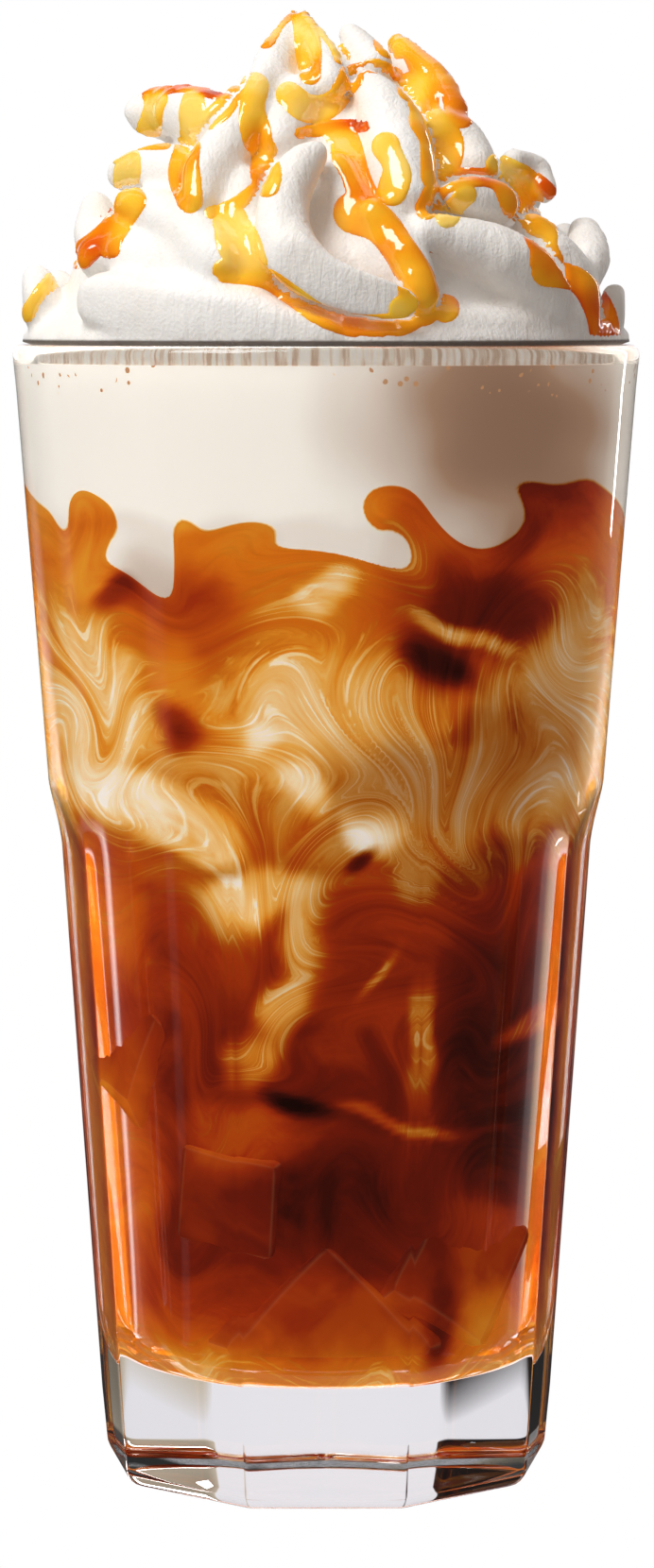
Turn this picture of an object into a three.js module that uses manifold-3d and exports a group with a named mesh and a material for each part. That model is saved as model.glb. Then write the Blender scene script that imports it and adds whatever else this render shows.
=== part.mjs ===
// An iced latte in a tall faceted tumbler: coffee below, milk above it, and a heap of whipped cream with
// caramel drizzle. Millimetres, +Z up, origin at the centre of the foot, the front towards -Y.
import * as THREE from "three";
import { mergeVertices } from "three/addons/utils/BufferGeometryUtils.js";
import Module from "manifold-3d";

const wasm = await Module();
wasm.setup();

// Driving dimensions of the tumbler.
const GLASS_HEIGHT = 160;
const RIM_RADIUS = 44;
const SHOULDER_RADIUS = 39.3;
const SHOULDER_HEIGHT = 99;
const FOOT_RADIUS = 32.3;
const RIM_WALL = 2.6;
const FLOOR_THICKNESS = 16.4;
const FLOOR_RADIUS = 26.5;
const SHOULDER_BORE = 32.4;
const FLOOR_FILLET = 6;
const FACETS = 9;
const ARCH_HEIGHT = 9;
const FOOT_BEVEL = 2.8;
const PUNT_RADIUS = 22;
const PUNT_DEPTH = 1.6;

// Driving dimensions of what fills it. GAP keeps touching pieces apart.
const GAP = 0.3;
const MILK_TOP = 157.4;
const CREAM_REACH = 43.7;
const DRIZZLE_RADIUS = 1.5;
const BLEND = 1.6;
const CORE_INSET = 5;

// Height of the border between coffee and milk round the wall: [degrees from the front, millimetres].
const LAYER = [
  [-90, 141.4], [-68, 137.3], [-56, 138.7], [-41, 130.6], [-26, 137.3], [-3, 131.3], [6, 132.4], [14, 140.7],
  [30, 131.7], [56, 143], [75, 139.3], [98, 133.5], [122, 138.6], [150, 131.5], [178, 139.5], [206, 133],
  [238, 137.6],
];
const LAYER_MIDDLE = 136;

// The eye that the cream's lumps and drizzle were laid out from.
const EYE_DISTANCE = 700;
const EYE_HEIGHT = 165;

const SEGMENTS_PER_FACET = 6;
const SEGMENTS = FACETS * SEGMENTS_PER_FACET;
const HEAP_SEGMENTS = 72;
const HEAP_ROWS = 34;
const HALF_FACET = Math.PI / FACETS;
const DEGREE = Math.PI / 180;

const { lerp, clamp, mapLinear } = THREE.MathUtils;

// A closed surface with shared vertices that faces outwards, free of triangles that have collapsed.
function closed(geometry) {
  geometry.deleteAttribute("normal");
  geometry.deleteAttribute("uv");
  const merged = mergeVertices(geometry, 1e-3);
  const position = merged.attributes.position;
  const at = (index) => new THREE.Vector3().fromBufferAttribute(position, index);
  const corners = merged.index.array;
  const kept = [];
  let volume = 0;
  for (let i = 0; i < corners.length; i += 3) {
    const [a, b, c] = [corners[i], corners[i + 1], corners[i + 2]];
    if (a === b || b === c || a === c) continue;
    kept.push(a, b, c);
    volume += at(a).dot(at(b).cross(at(c)));
  }
  merged.setIndex(volume < 0 ? kept.reverse() : kept);
  return merged;
}

function solidOf(geometry) {
  const merged = closed(geometry);
  return new wasm.Manifold(new wasm.Mesh({
    numProp: 3,
    vertProperties: new Float32Array(merged.attributes.position.array),
    triVerts: new Uint32Array(merged.index.array),
  }));
}

function geometryOf(solid) {
  const mesh = solid.getMesh();
  const geometry = new THREE.BufferGeometry();
  geometry.setAttribute("position", new THREE.BufferAttribute(mesh.vertProperties, 3));
  geometry.setIndex(new THREE.BufferAttribute(mesh.triVerts, 1));
  geometry.computeVertexNormals();
  return geometry;
}

// A repeatable draw from 0 to 1 for the whole number n.
function draw(n) {
  const wave = Math.sin(n * 12.9898 + 4.1414) * 43758.5453;
  return wave - Math.floor(wave);
}

// Reads a table of [position, value] pairs at x, with straight lines between them.
function between(table, x) {
  if (x <= table[0][0]) return table[0][1];
  for (let i = 1; i < table.length; i++) {
    if (x <= table[i][0]) return mapLinear(x, table[i - 1][0], table[i][0], table[i - 1][1], table[i][1]);
  }
  return table[table.length - 1][1];
}

// Points along an arc, in the plane of radius and height. Angles are in degrees.
function arc(centreRadius, centreHeight, size, from, to, steps) {
  const points = [];
  for (let i = 0; i <= steps; i++) {
    const turn = lerp(from, to, i / steps) * DEGREE;
    points.push([centreRadius + size * Math.cos(turn), centreHeight + size * Math.sin(turn)]);
  }
  return points;
}

// Turns [radius, height] points about +Z from the front. shape gives each point its own radius and height.
function turned(points, shape = (angle, radius, height) => [radius, height]) {
  const outline = points.map(([radius, height]) => new THREE.Vector2(radius, height));
  const geometry = new THREE.LatheGeometry(outline, SEGMENTS);
  const position = geometry.attributes.position;
  for (let i = 0; i < position.count; i++) {
    const row = i % points.length;
    const angle = (((i - row) / points.length % SEGMENTS) / SEGMENTS) * 2 * Math.PI;
    const [radius, height] = shape(angle, ...points[row], row);
    position.setXYZ(i, radius * Math.sin(angle), -radius * Math.cos(angle), height);
  }
  return closed(geometry);
}

// The round outside of the tumbler, before its facets are cut.
function coneRadius(height) {
  return between([[0, FOOT_RADIUS], [SHOULDER_HEIGHT, SHOULDER_RADIUS], [GLASS_HEIGHT, RIM_RADIUS]], height);
}

// The round bore: thick walls behind the facets, thinner ones up to the rim.
function innerRadius(height) {
  const arches = SHOULDER_HEIGHT - ARCH_HEIGHT;
  const bore = [[FLOOR_THICKNESS, FLOOR_RADIUS], [arches, SHOULDER_BORE], [GLASS_HEIGHT, RIM_RADIUS - RIM_WALL]];
  return between(bore, height);
}

// The share of the round radius that is left at an angle: flat facets that run out in arches at the shoulder.
function facetShare(angle, height) {
  const offset = ((angle + HALF_FACET) % (2 * HALF_FACET)) - HALF_FACET;
  const climb = clamp((height - SHOULDER_HEIGHT + ARCH_HEIGHT) / ARCH_HEIGHT, 0, 1);
  return Math.min(1, lerp(Math.cos(HALF_FACET), 1, climb) / Math.cos(offset));
}

// The rounded corner where the bore meets its floor, drawn in by inset.
function floorCorner(inset) {
  return arc(
    FLOOR_RADIUS - FLOOR_FILLET, FLOOR_THICKNESS + FLOOR_FILLET, FLOOR_FILLET - inset, 0, -90, 4,
  ).map(([radius, height]) => [radius + innerRadius(height) - FLOOR_RADIUS, height]);
}

function tumbler() {
  const punt = [3, 2, 1, 0].map((i) => [PUNT_RADIUS * (1 - i / 3), PUNT_DEPTH * (1 - (1 - i / 3) ** 2)]);
  const bevel = arc(FOOT_RADIUS - FOOT_BEVEL, FOOT_BEVEL, FOOT_BEVEL, -90, 0, 2);
  const wall = [50, ...[0, 1, 2, 3, 4, 5, 6].map((i) => SHOULDER_HEIGHT - ARCH_HEIGHT * (1 - i / 6))]
    .map((height) => [coneRadius(height), height]);
  const lip = RIM_WALL / 2;
  const rim = arc(RIM_RADIUS - lip, GLASS_HEIGHT - lip, lip, 0, 180, 4);
  const firstCut = punt.length;
  const lastCut = firstCut + bevel.length + wall.length;
  const waist = [innerRadius(SHOULDER_HEIGHT - ARCH_HEIGHT), SHOULDER_HEIGHT - ARCH_HEIGHT];
  const points = [...punt, ...bevel, ...wall, ...rim, waist, ...floorCorner(0), [0, FLOOR_THICKNESS]];
  return turned(points, (angle, radius, height, row) => {
    const cut = row >= firstCut && row < lastCut;
    return [cut ? radius * facetShare(angle, height) : radius, height];
  });
}

// Where coffee meets milk: waves round the wall that die out towards the middle.
function layerHeight(angle, radius) {
  const start = LAYER[0][0];
  const degrees = ((angle / DEGREE - start + 360) % 360) + start;
  const round = [...LAYER, [start + 360, LAYER[0][1]]];
  const smooth = [-6, 0, 6].reduce((sum, step) => {
    const turn = ((degrees + step - start + 360) % 360) + start;
    return sum + between(round, turn) / 3;
  }, 0);
  return lerp(LAYER_MIDDLE, smooth, (radius / RIM_RADIUS) ** 2);
}

const LAYER_ROWS = [41, 33, 24, 12, 0];

// Rows of the border from the wall to the middle, raised by lift.
function layerRow(angle, radius, lift) {
  const height = layerHeight(angle, radius) + lift;
  return [Math.min(radius, innerRadius(height) - GAP), height];
}

function coffee() {
  const wall = [[SHOULDER_BORE - GAP, SHOULDER_HEIGHT - ARCH_HEIGHT]];
  const below = [[0, FLOOR_THICKNESS + GAP], ...floorCorner(GAP).reverse(), ...wall];
  const points = [...below, ...LAYER_ROWS.map((radius) => [radius, LAYER_MIDDLE])];
  return turned(points, (angle, radius, height, row) =>
    row < below.length ? [radius, height] : layerRow(angle, radius, 0));
}

function milk() {
  const above = [[0, MILK_TOP], [innerRadius(MILK_TOP) - GAP, MILK_TOP]];
  const points = [...above, ...LAYER_ROWS.map((radius) => [radius, LAYER_MIDDLE])];
  return turned(points, (angle, radius, height, row) =>
    row < above.length ? [radius, height] : layerRow(angle, radius, GAP));
}

// Width of the heap of cream at each height above the rim: [height, radius].
const HEAP = [
  [0, 42], [6, 42.5], [12, 40], [15, 37], [20, 34], [24, 31], [28, 26.5], [33, 22], [37, 17], [41, 11], [47, 2],
];

// One soft lump of cream, laid out as seen from the front: x and height say where its middle shows, and side is
// 1 for the front half and -1 for the back. It stands out of the heap's outline by out. peak draws its top up,
// and lean bends that top sideways. roll is in degrees.
function lump({ x, height, width, tall, deep, roll = 0, peak = 0, lean = 0, out = 1, side = 1 }) {
  const depth = Math.max(Math.sqrt(Math.max(between(HEAP, height) ** 2 - x * x, 0)) + out - deep, 0);
  const near = 1 - depth / EYE_DISTANCE;
  const turn = side < 0 ? Math.PI : 0;
  const placed = new THREE.Matrix4().makeRotationZ(turn)
    .multiply(new THREE.Matrix4().makeTranslation(x * near, -depth, lerp(EYE_HEIGHT, GLASS_HEIGHT + height, near)))
    .multiply(new THREE.Matrix4().makeRotationY(-roll * DEGREE));
  const size = new THREE.Vector3(width, deep, tall).multiplyScalar(near);
  return { inverse: placed.invert(), size, peak, lean };
}

// Roughly how far a point is outside a lump, in millimetres, and negative inside it.
function outsideLump(point, { inverse, size, peak, lean }) {
  const unit = point.clone().applyMatrix4(inverse).divide(size);
  if (unit.z > 0) unit.z /= 1 + peak;
  const rise = Math.max(unit.z, 0) ** 2;
  unit.x -= lean * rise;
  const narrow = 1 + 0.5 * peak * rise;
  unit.x *= narrow;
  unit.y *= narrow;
  const reach = unit.length();
  return (reach * (reach - 1)) / Math.max(unit.divide(size).length(), 1e-6);
}

// The lumps that show from the front, from the rim up.
const FRONT_LUMPS = [
  { x: -36.4, height: 5.8, width: 7.2, tall: 6.4, deep: 11 },
  { x: -30.4, height: 5.6, width: 6.6, tall: 6.8, deep: 9, peak: 0.2 },
  { x: -15.5, height: 4.8, width: 13, tall: 5.4, deep: 12, roll: 4 },
  { x: 5, height: 4, width: 14.5, tall: 5.2, deep: 12, roll: 5 },
  { x: 22.4, height: 4.4, width: 7.4, tall: 5.6, deep: 10 },
  { x: 34.6, height: 4.6, width: 7.6, tall: 5.8, deep: 10 },
  { x: -22.8, height: 13.4, width: 8.2, tall: 7.6, deep: 9, peak: 0.28, lean: -0.25 },
  { x: -7.5, height: 11.5, width: 9.5, tall: 6.2, deep: 9, roll: 12 },
  { x: 9.5, height: 10.6, width: 9.5, tall: 6.2, deep: 9, roll: -18 },
  { x: 27.4, height: 11.4, width: 12.6, tall: 6.4, deep: 11, roll: -10 },
  { x: 36.2, height: 14, width: 4.2, tall: 4.6, deep: 6, peak: 0.2, out: 3 },
  { x: -31.2, height: 17, width: 4.6, tall: 5.2, deep: 7, out: 3 },
  { x: -24.4, height: 21.6, width: 8, tall: 6.6, deep: 8, roll: -14 },
  { x: -11, height: 21.6, width: 10.5, tall: 5.8, deep: 8.4, roll: 44 },
  { x: -3.6, height: 18.8, width: 5.4, tall: 10.8, deep: 8.4, roll: -6 },
  { x: 7.6, height: 22, width: 6.4, tall: 7.6, deep: 7.4 },
  { x: 19.2, height: 23.4, width: 7.4, tall: 7.8, deep: 8.6, roll: -24 },
  { x: 27.6, height: 21.8, width: 5, tall: 4.6, deep: 7, out: 3 },
  { x: -22, height: 31.6, width: 7.2, tall: 5.6, deep: 8, roll: 8 },
  { x: -13.8, height: 31, width: 6, tall: 7, deep: 7, roll: 28 },
  { x: -2.6, height: 33, width: 6.2, tall: 8, deep: 7.6 },
  { x: 8.8, height: 31, width: 6.4, tall: 8.2, deep: 7.6, roll: 6 },
  { x: 13.2, height: 36.4, width: 6, tall: 5.6, deep: 7.6 },
  { x: 3.6, height: 38.4, width: 5.4, tall: 4.6, deep: 6 },
  { x: -9.2, height: 38, width: 4.4, tall: 7, deep: 5.4, roll: -34 },
  { x: -4.4, height: 41.4, width: 5, tall: 4.8, deep: 5.4, peak: 0.22 },
  { x: 3.6, height: 42.2, width: 1.8, tall: 2, deep: 2 },
];

// The rows of lumps on the far side, spread over the width of the heap and then made uneven.
const BACK_ROWS = [
  { height: 5, width: 10, tall: 6.6, deep: 10.6, count: 7 },
  { height: 13.6, width: 9, tall: 7, deep: 9.4, count: 6 },
  { height: 22.6, width: 8, tall: 7, deep: 8.6, count: 5 },
  { height: 31.6, width: 7, tall: 6.4, deep: 8, count: 3 },
  { height: 38, width: 5.4, tall: 4.6, deep: 6, count: 2 },
];

function backLumps() {
  const made = [];
  for (const { count, ...row } of BACK_ROWS) {
    const reach = between(HEAP, row.height) - 0.7 * row.width;
    for (let i = 0; i < count; i++) {
      const n = made.length * 4 + 1;
      const turn = mapLinear(i, 0, count - 1, -75, 75) + 9 * (draw(n) - 0.5);
      made.push({
        ...row,
        x: reach * Math.sin(turn * DEGREE),
        height: row.height + 2 * (draw(n + 1) - 0.5),
        roll: 50 * (draw(n + 2) - 0.5),
        peak: 0.2 * draw(n + 3),
        side: -1,
      });
    }
  }
  return made;
}

// The plain body under the lumps: a mound, and a plug that is wider than the room it is cut to.
function outsideBody(point) {
  const round = Math.hypot(point.x, point.y);
  const mound = 0.7 * Math.max(round + CORE_INSET - between(HEAP, point.z - GLASS_HEIGHT), point.z - GLASS_HEIGHT - 40);
  const plug = Math.max(round - 43, point.z - GLASS_HEIGHT - 2);
  return Math.max(Math.min(mound, plug), GLASS_HEIGHT - 12 - point.z);
}

// How far a point is outside the whole heap, with the creases between lumps softened over BLEND.
function outsideHeap(point, lumps) {
  let nearest = outsideBody(point);
  for (const one of lumps) {
    const other = outsideLump(point, one);
    const overlap = Math.max(BLEND - Math.abs(nearest - other), 0) / BLEND;
    nearest = Math.min(nearest, other) - (overlap * overlap * BLEND) / 4;
  }
  return nearest;
}

// A ball whose points are pushed out from the middle of the heap onto its surface, eased in at CREAM_REACH.
function heapSurface(lumps) {
  const geometry = new THREE.SphereGeometry(1, HEAP_SEGMENTS, HEAP_ROWS);
  geometry.rotateX(Math.PI / 2);
  const position = geometry.attributes.position;
  const middle = new THREE.Vector3(0, 0, GLASS_HEIGHT + 2);
  for (let i = 0; i < position.count; i++) {
    const ray = new THREE.Vector3().fromBufferAttribute(position, i);
    const row = Math.acos(clamp(ray.z, -1, 1)) / Math.PI;
    const polar = between([[0, 0], [0.8, 98], [1, 180]], row) * DEGREE;
    const turn = Math.atan2(ray.y, ray.x);
    ray.set(Math.sin(polar) * Math.cos(turn), Math.sin(polar) * Math.sin(turn), Math.cos(polar));
    let reach = 62;
    for (let step = 0; step < 60; step++) {
      const left = outsideHeap(middle.clone().addScaledVector(ray, reach), lumps);
      if (left < 0.01) break;
      reach -= 0.7 * left;
    }
    const spot = middle.clone().addScaledVector(ray, reach);
    const round = Math.hypot(spot.x, spot.y);
    const spare = Math.max(round - CREAM_REACH + 2, 0) / 2;
    const drawn = spare > 0 ? (CREAM_REACH - 2 * Math.exp(-spare)) / round : 1;
    position.setXYZ(i, spot.x * drawn, spot.y * drawn, spot.z);
  }
  return geometry;
}

// The cream lies on the milk inside the rim and swells over the rim, clear of the glass.
function creamRoom() {
  const floor = MILK_TOP + GAP;
  const over = GLASS_HEIGHT + GAP;
  const inside = innerRadius(floor) - GAP;
  return turned([[0, floor], [inside, floor], [inside, over], [RIM_RADIUS, over], [RIM_RADIUS, 220], [0, 220]]);
}

// Routes of the drizzle as seen from the front: [millimetres right of the axis, millimetres above the rim].
const DRIZZLE = [
  [[-8.6, 42.4], [-6, 45.2], [-3.1, 45.6], [-0.9, 43.8], [1.4, 41]],
  [[8.7, 41], [12, 41], [14.4, 38], [18.1, 35.3], [18.6, 31.9]],
  [[12.7, 37.6], [14.7, 33.6], [16.8, 30.3], [17.8, 26.9], [14.7, 24.2]],
  [[-25.5, 33.8], [-23.4, 35.6], [-20.1, 35.8], [-15.7, 34.6]],
  [[-12.1, 39.6], [-12.7, 36.3], [-16.1, 32.3]],
  [[-29, 25.6], [-25.5, 27], [-22.1, 27.2], [-27.4, 23.6]],
  [[-26.5, 21.6], [-31.5, 16.2], [-35.2, 11.4]],
  [[-6.7, 28.3], [-10.3, 24.9], [-7.4, 21.6], [-10.7, 18.9], [-15.4, 17.5], [-14.1, 13.5], [-12.1, 10.2]],
  [[-14.1, 10.2], [-8.7, 9.5], [-4.7, 6.1], [0, 3], [5.4, 1.8], [11.4, 2.3], [16.8, 4.1]],
  [[2, 26.2], [3.6, 21.6], [7.4, 15.5], [11.4, 10.2], [14.1, 6.1], [16.8, 4.1]],
  [[14.7, 20.2], [18.1, 23.6], [22.1, 23.6], [26.1, 22.2], [26.8, 17.5]],
  [[28.8, 22], [34.2, 18], [31.5, 15.5], [30.8, 10.2], [36.9, 8.8], [39.5, 3.5]],
];
const BACK_SCALE = 0.92;

// A strand follows the cream and lies half sunk in it. side is 1 for the front and -1 for the back.
function strand(heap, route, side, scale) {
  const drawn = new THREE.SplineCurve(route.map(([x, height]) => new THREE.Vector2(x, height).multiplyScalar(scale)));
  const eye = new THREE.Vector3(0, -side * EYE_DISTANCE, EYE_HEIGHT);
  const spots = drawn.getSpacedPoints(Math.round(drawn.getLength() / (2 * DRIZZLE_RADIUS)));
  const points = spots.flatMap((spot) => {
    const aim = new THREE.Vector3(side * spot.x, 0, GLASS_HEIGHT + spot.y).sub(eye).normalize();
    const hit = new THREE.Raycaster(eye, aim).intersectObject(heap)[0];
    return hit ? [hit.point.addScaledVector(aim, 0.4 * DRIZZLE_RADIUS)] : [];
  });
  const path = new THREE.CatmullRomCurve3(points);
  const section = new THREE.Shape().absarc(0, 0, DRIZZLE_RADIUS, 0, 2 * Math.PI);
  const steps = Math.round(path.getLength() / (2.4 * DRIZZLE_RADIUS));
  return new THREE.ExtrudeGeometry(section, { steps, curveSegments: 3, bevelEnabled: false, extrudePath: path });
}

// The outer surface alone, without hollows sealed in under a strand.
function filled(solid) {
  return solid.decompose().reduce((best, body) => (body.volume() > best.volume() ? body : best));
}

function cream() {
  const lumps = [...FRONT_LUMPS, ...backLumps()].map(lump);
  const surface = heapSurface(lumps);
  const target = new THREE.Mesh(closed(surface), new THREE.MeshBasicMaterial());
  let heap = solidOf(surface);
  for (const [side, scale] of [[1, 1], [-1, BACK_SCALE]]) {
    for (const route of DRIZZLE) heap = heap.add(solidOf(strand(target, route, side, scale)));
  }
  return geometryOf(filled(heap.intersect(solidOf(creamRoom()))));
}

const glassMaterial = new THREE.MeshStandardMaterial({
  color: 0xf4f6f6, roughness: 0.03, metalness: 0, transparent: true, opacity: 0.3,
});
const coffeeMaterial = new THREE.MeshStandardMaterial({ color: 0x8a3c10, roughness: 0.2, metalness: 0 });
const milkMaterial = new THREE.MeshStandardMaterial({ color: 0xefe6da, roughness: 0.35, metalness: 0 });
const creamMaterial = new THREE.MeshStandardMaterial({ color: 0xfaf7f2, roughness: 0.5, metalness: 0 });

const latte = new THREE.Group();

function place(name, geometry, material) {
  const mesh = new THREE.Mesh(geometry, material);
  mesh.name = name;
  latte.add(mesh);
}

place("glass", tumbler(), glassMaterial);
place("coffee", coffee(), coffeeMaterial);
place("milk", milk(), milkMaterial);
place("whipped_cream", cream(), creamMaterial);

export default latte;
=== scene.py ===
"""An iced latte in a tall faceted tumbler: marbled coffee under milk, whipped cream and caramel drizzle.

Shapes are laid out in millimetres, +Z up, with the front towards -Y, and are scaled to metres at the end.
"""

import math

import bmesh
import bpy
import numpy as np
from bpy.props import FloatProperty, FloatVectorProperty, IntProperty, PointerProperty
from mathutils import Matrix, Vector, noise
from mathutils.bvhtree import BVHTree


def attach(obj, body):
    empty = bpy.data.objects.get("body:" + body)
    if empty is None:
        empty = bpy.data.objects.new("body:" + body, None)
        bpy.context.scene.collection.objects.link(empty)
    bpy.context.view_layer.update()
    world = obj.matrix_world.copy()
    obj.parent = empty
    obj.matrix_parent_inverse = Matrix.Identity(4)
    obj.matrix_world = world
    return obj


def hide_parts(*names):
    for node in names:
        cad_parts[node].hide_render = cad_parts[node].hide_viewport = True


bl_info = {
    "name": "Iced Latte",
    "version": (1, 0, 0),
    "blender": (4, 5, 0),
    "location": "View3D > Sidebar > Latte",
    "description": "Builds an iced latte with whipped cream and caramel drizzle in a faceted tumbler",
    "category": "Add Mesh",
}

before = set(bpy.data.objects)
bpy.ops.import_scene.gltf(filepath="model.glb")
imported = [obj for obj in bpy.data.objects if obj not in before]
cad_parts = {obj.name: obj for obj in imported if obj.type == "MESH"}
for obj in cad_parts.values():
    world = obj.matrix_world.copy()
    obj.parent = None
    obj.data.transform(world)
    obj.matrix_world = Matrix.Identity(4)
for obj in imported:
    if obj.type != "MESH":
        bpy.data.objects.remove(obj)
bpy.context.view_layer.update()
BODY = "root"
MM = 0.001

# The tumbler's own sizes, the same as in the part's source.
RIM_WALL = 2.6
SHOULDER_RADIUS = 39.3
SHOULDER_HEIGHT = 99.0
FOOT_RADIUS = 32.3
FLOOR_THICKNESS = 16.4
FLOOR_RADIUS = 26.5
FLOOR_FILLET = 6.0
SHOULDER_BORE = 32.4
ARCH_HEIGHT = 9.0
FOOT_BEVEL = 2.8
PUNT_RADIUS = 22.0
PUNT_DEPTH = 1.6
MILK_TOP = 157.4
CREAM_REACH = 43.7
GAP = 0.3

# How the facets are pressed: in full up to ARCH_START, then fading out in an arch by ARCH_END. The ridges
# between them are softened within RIDGE_REACH of the round wall. The last three are shares of the radius.
COLUMNS_PER_FACET = 24
COLUMN_CROWDING = 1.5
ARCH_START = SHOULDER_HEIGHT - ARCH_HEIGHT - 1.5
ARCH_END = SHOULDER_HEIGHT + 1.0
ARCH_CURVE = 1.6
ARCH_LIFT = 1.02
RIDGE_REACH = 0.016
RIDGE_CUT = 0.004

# Heights of the tumbler's rows of faces, close together where the arches are, and of the bore's.
WALL_ROWS = [10, 20, 35, 50, 65, 75, 82, *np.arange(86, 103, 0.75), 108, 116, 126, 136, 146, 154]
BORE_ROWS = [150, 135, 120, 105, 97, 90, 75, 60, 45, 30]
FLOOR_RING = 10.0
# Rings of points across the border between coffee and milk, and across the top of the milk.
BORDER_RINGS = [34, 28, 20, 10, 0]
TOP_RING = 20

# Where the photograph's eye stands, from which the cream and the drizzle are laid out, with its tilt downwards
# in degrees and its focal length for a picture 36 mm high.
EYE_DISTANCE = 700.0
EYE_HEIGHT = 165.0
EYE_RIGHT = 0.134
EYE_TILT = 5.48
EYE_LENS = 113.8
FLOOR_REACH = 20000

# Border between coffee and milk round the wall: [degrees from the front, height].
LAYER = [
    (-90, 141.4), (-68, 137.3), (-56, 138.7), (-41, 130.6), (-26, 137.3), (-3, 131.3), (6, 132.4),
    (14, 140.7), (30, 131.7), (56, 143), (75, 139.3), (98, 133.5), (122, 138.6), (150, 131.5), (178, 139.5),
    (206, 133), (238, 137.6), (270, 141.4),
]
LAYER_MIDDLE = 136.0
# Degrees to either side over which the border's height is averaged, so that its corners are round.
LAYER_SOFTENING = (-6, -3, 0, 3, 6)

# Whirls that stir the milk into the coffee: degrees from the front, height, radius and strength. One above 0
# goes counterclockwise as seen from outside. At strength 1 the middle turns by WHIRL_STRENGTH radians.
WHIRLS = [
    (-41, 134, 6, -0.45), (-29, 136, 5, 0.35), (-57, 137, 4, 0.4), (10, 136, 6, 0.6), (34, 138, 6, 0.5),
    (-3, 130, 7, -0.3), (-50, 118, 10, 0.47), (-29, 110, 8, -0.55), (-14, 123, 12, 0.39), (1, 115, 12, -0.47),
    (14, 107, 9, 0.62), (26, 117, 8, -0.47), (41, 107, 12, 0.39), (55, 123, 10, -0.31), (-9, 98, 9, -0.47),
    (-42, 95, 10, 0.39), (19, 91, 10, -0.55), (41, 91, 10, 0.39), (-64, 105, 8, -0.39), (-25, 80, 11, -0.43),
    (5, 78, 12, 0.39), (21, 67, 9, -0.39), (-46, 67, 10, 0.39), (-10, 62, 9, 0.47), (41, 64, 10, -0.39),
    (-26, 55, 7, 0.31), (12, 50, 10, -0.31), (37, 42, 9, 0.31), (-46, 38, 9, -0.23),
]
WHIRL_STRENGTH = 4.2
STIR_RADIUS = 37.0
# The back has the same whirls the other way round, a little further apart and higher.
BACK_WHIRL_SPREAD = 1.08
BACK_WHIRL_RISE = 2.0

# Half the width that the drink shows from the front at each height, through the thick wall.
SEEN_HEIGHTS = [20, 88, 99, 160]
SEEN_RADII = [29.5, 33, 38, 43.3]

# Share of milk and lightness of the coffee at each height, before the clouds are laid in.
STILL_HEIGHTS = [15, 19, 25, 34, 60, 86, 96, 106, 122, 136]
STILL_MILK = [0.34, 0.28, 0.04, 0.0, 0.02, 0.08, 0.3, 0.36, 0.22, 0.06]
STILL_LIGHT = [0.9, 0.82, 0.52, 0.3, 0.3, 0.42, 0.62, 0.72, 0.76, 0.74]

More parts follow.
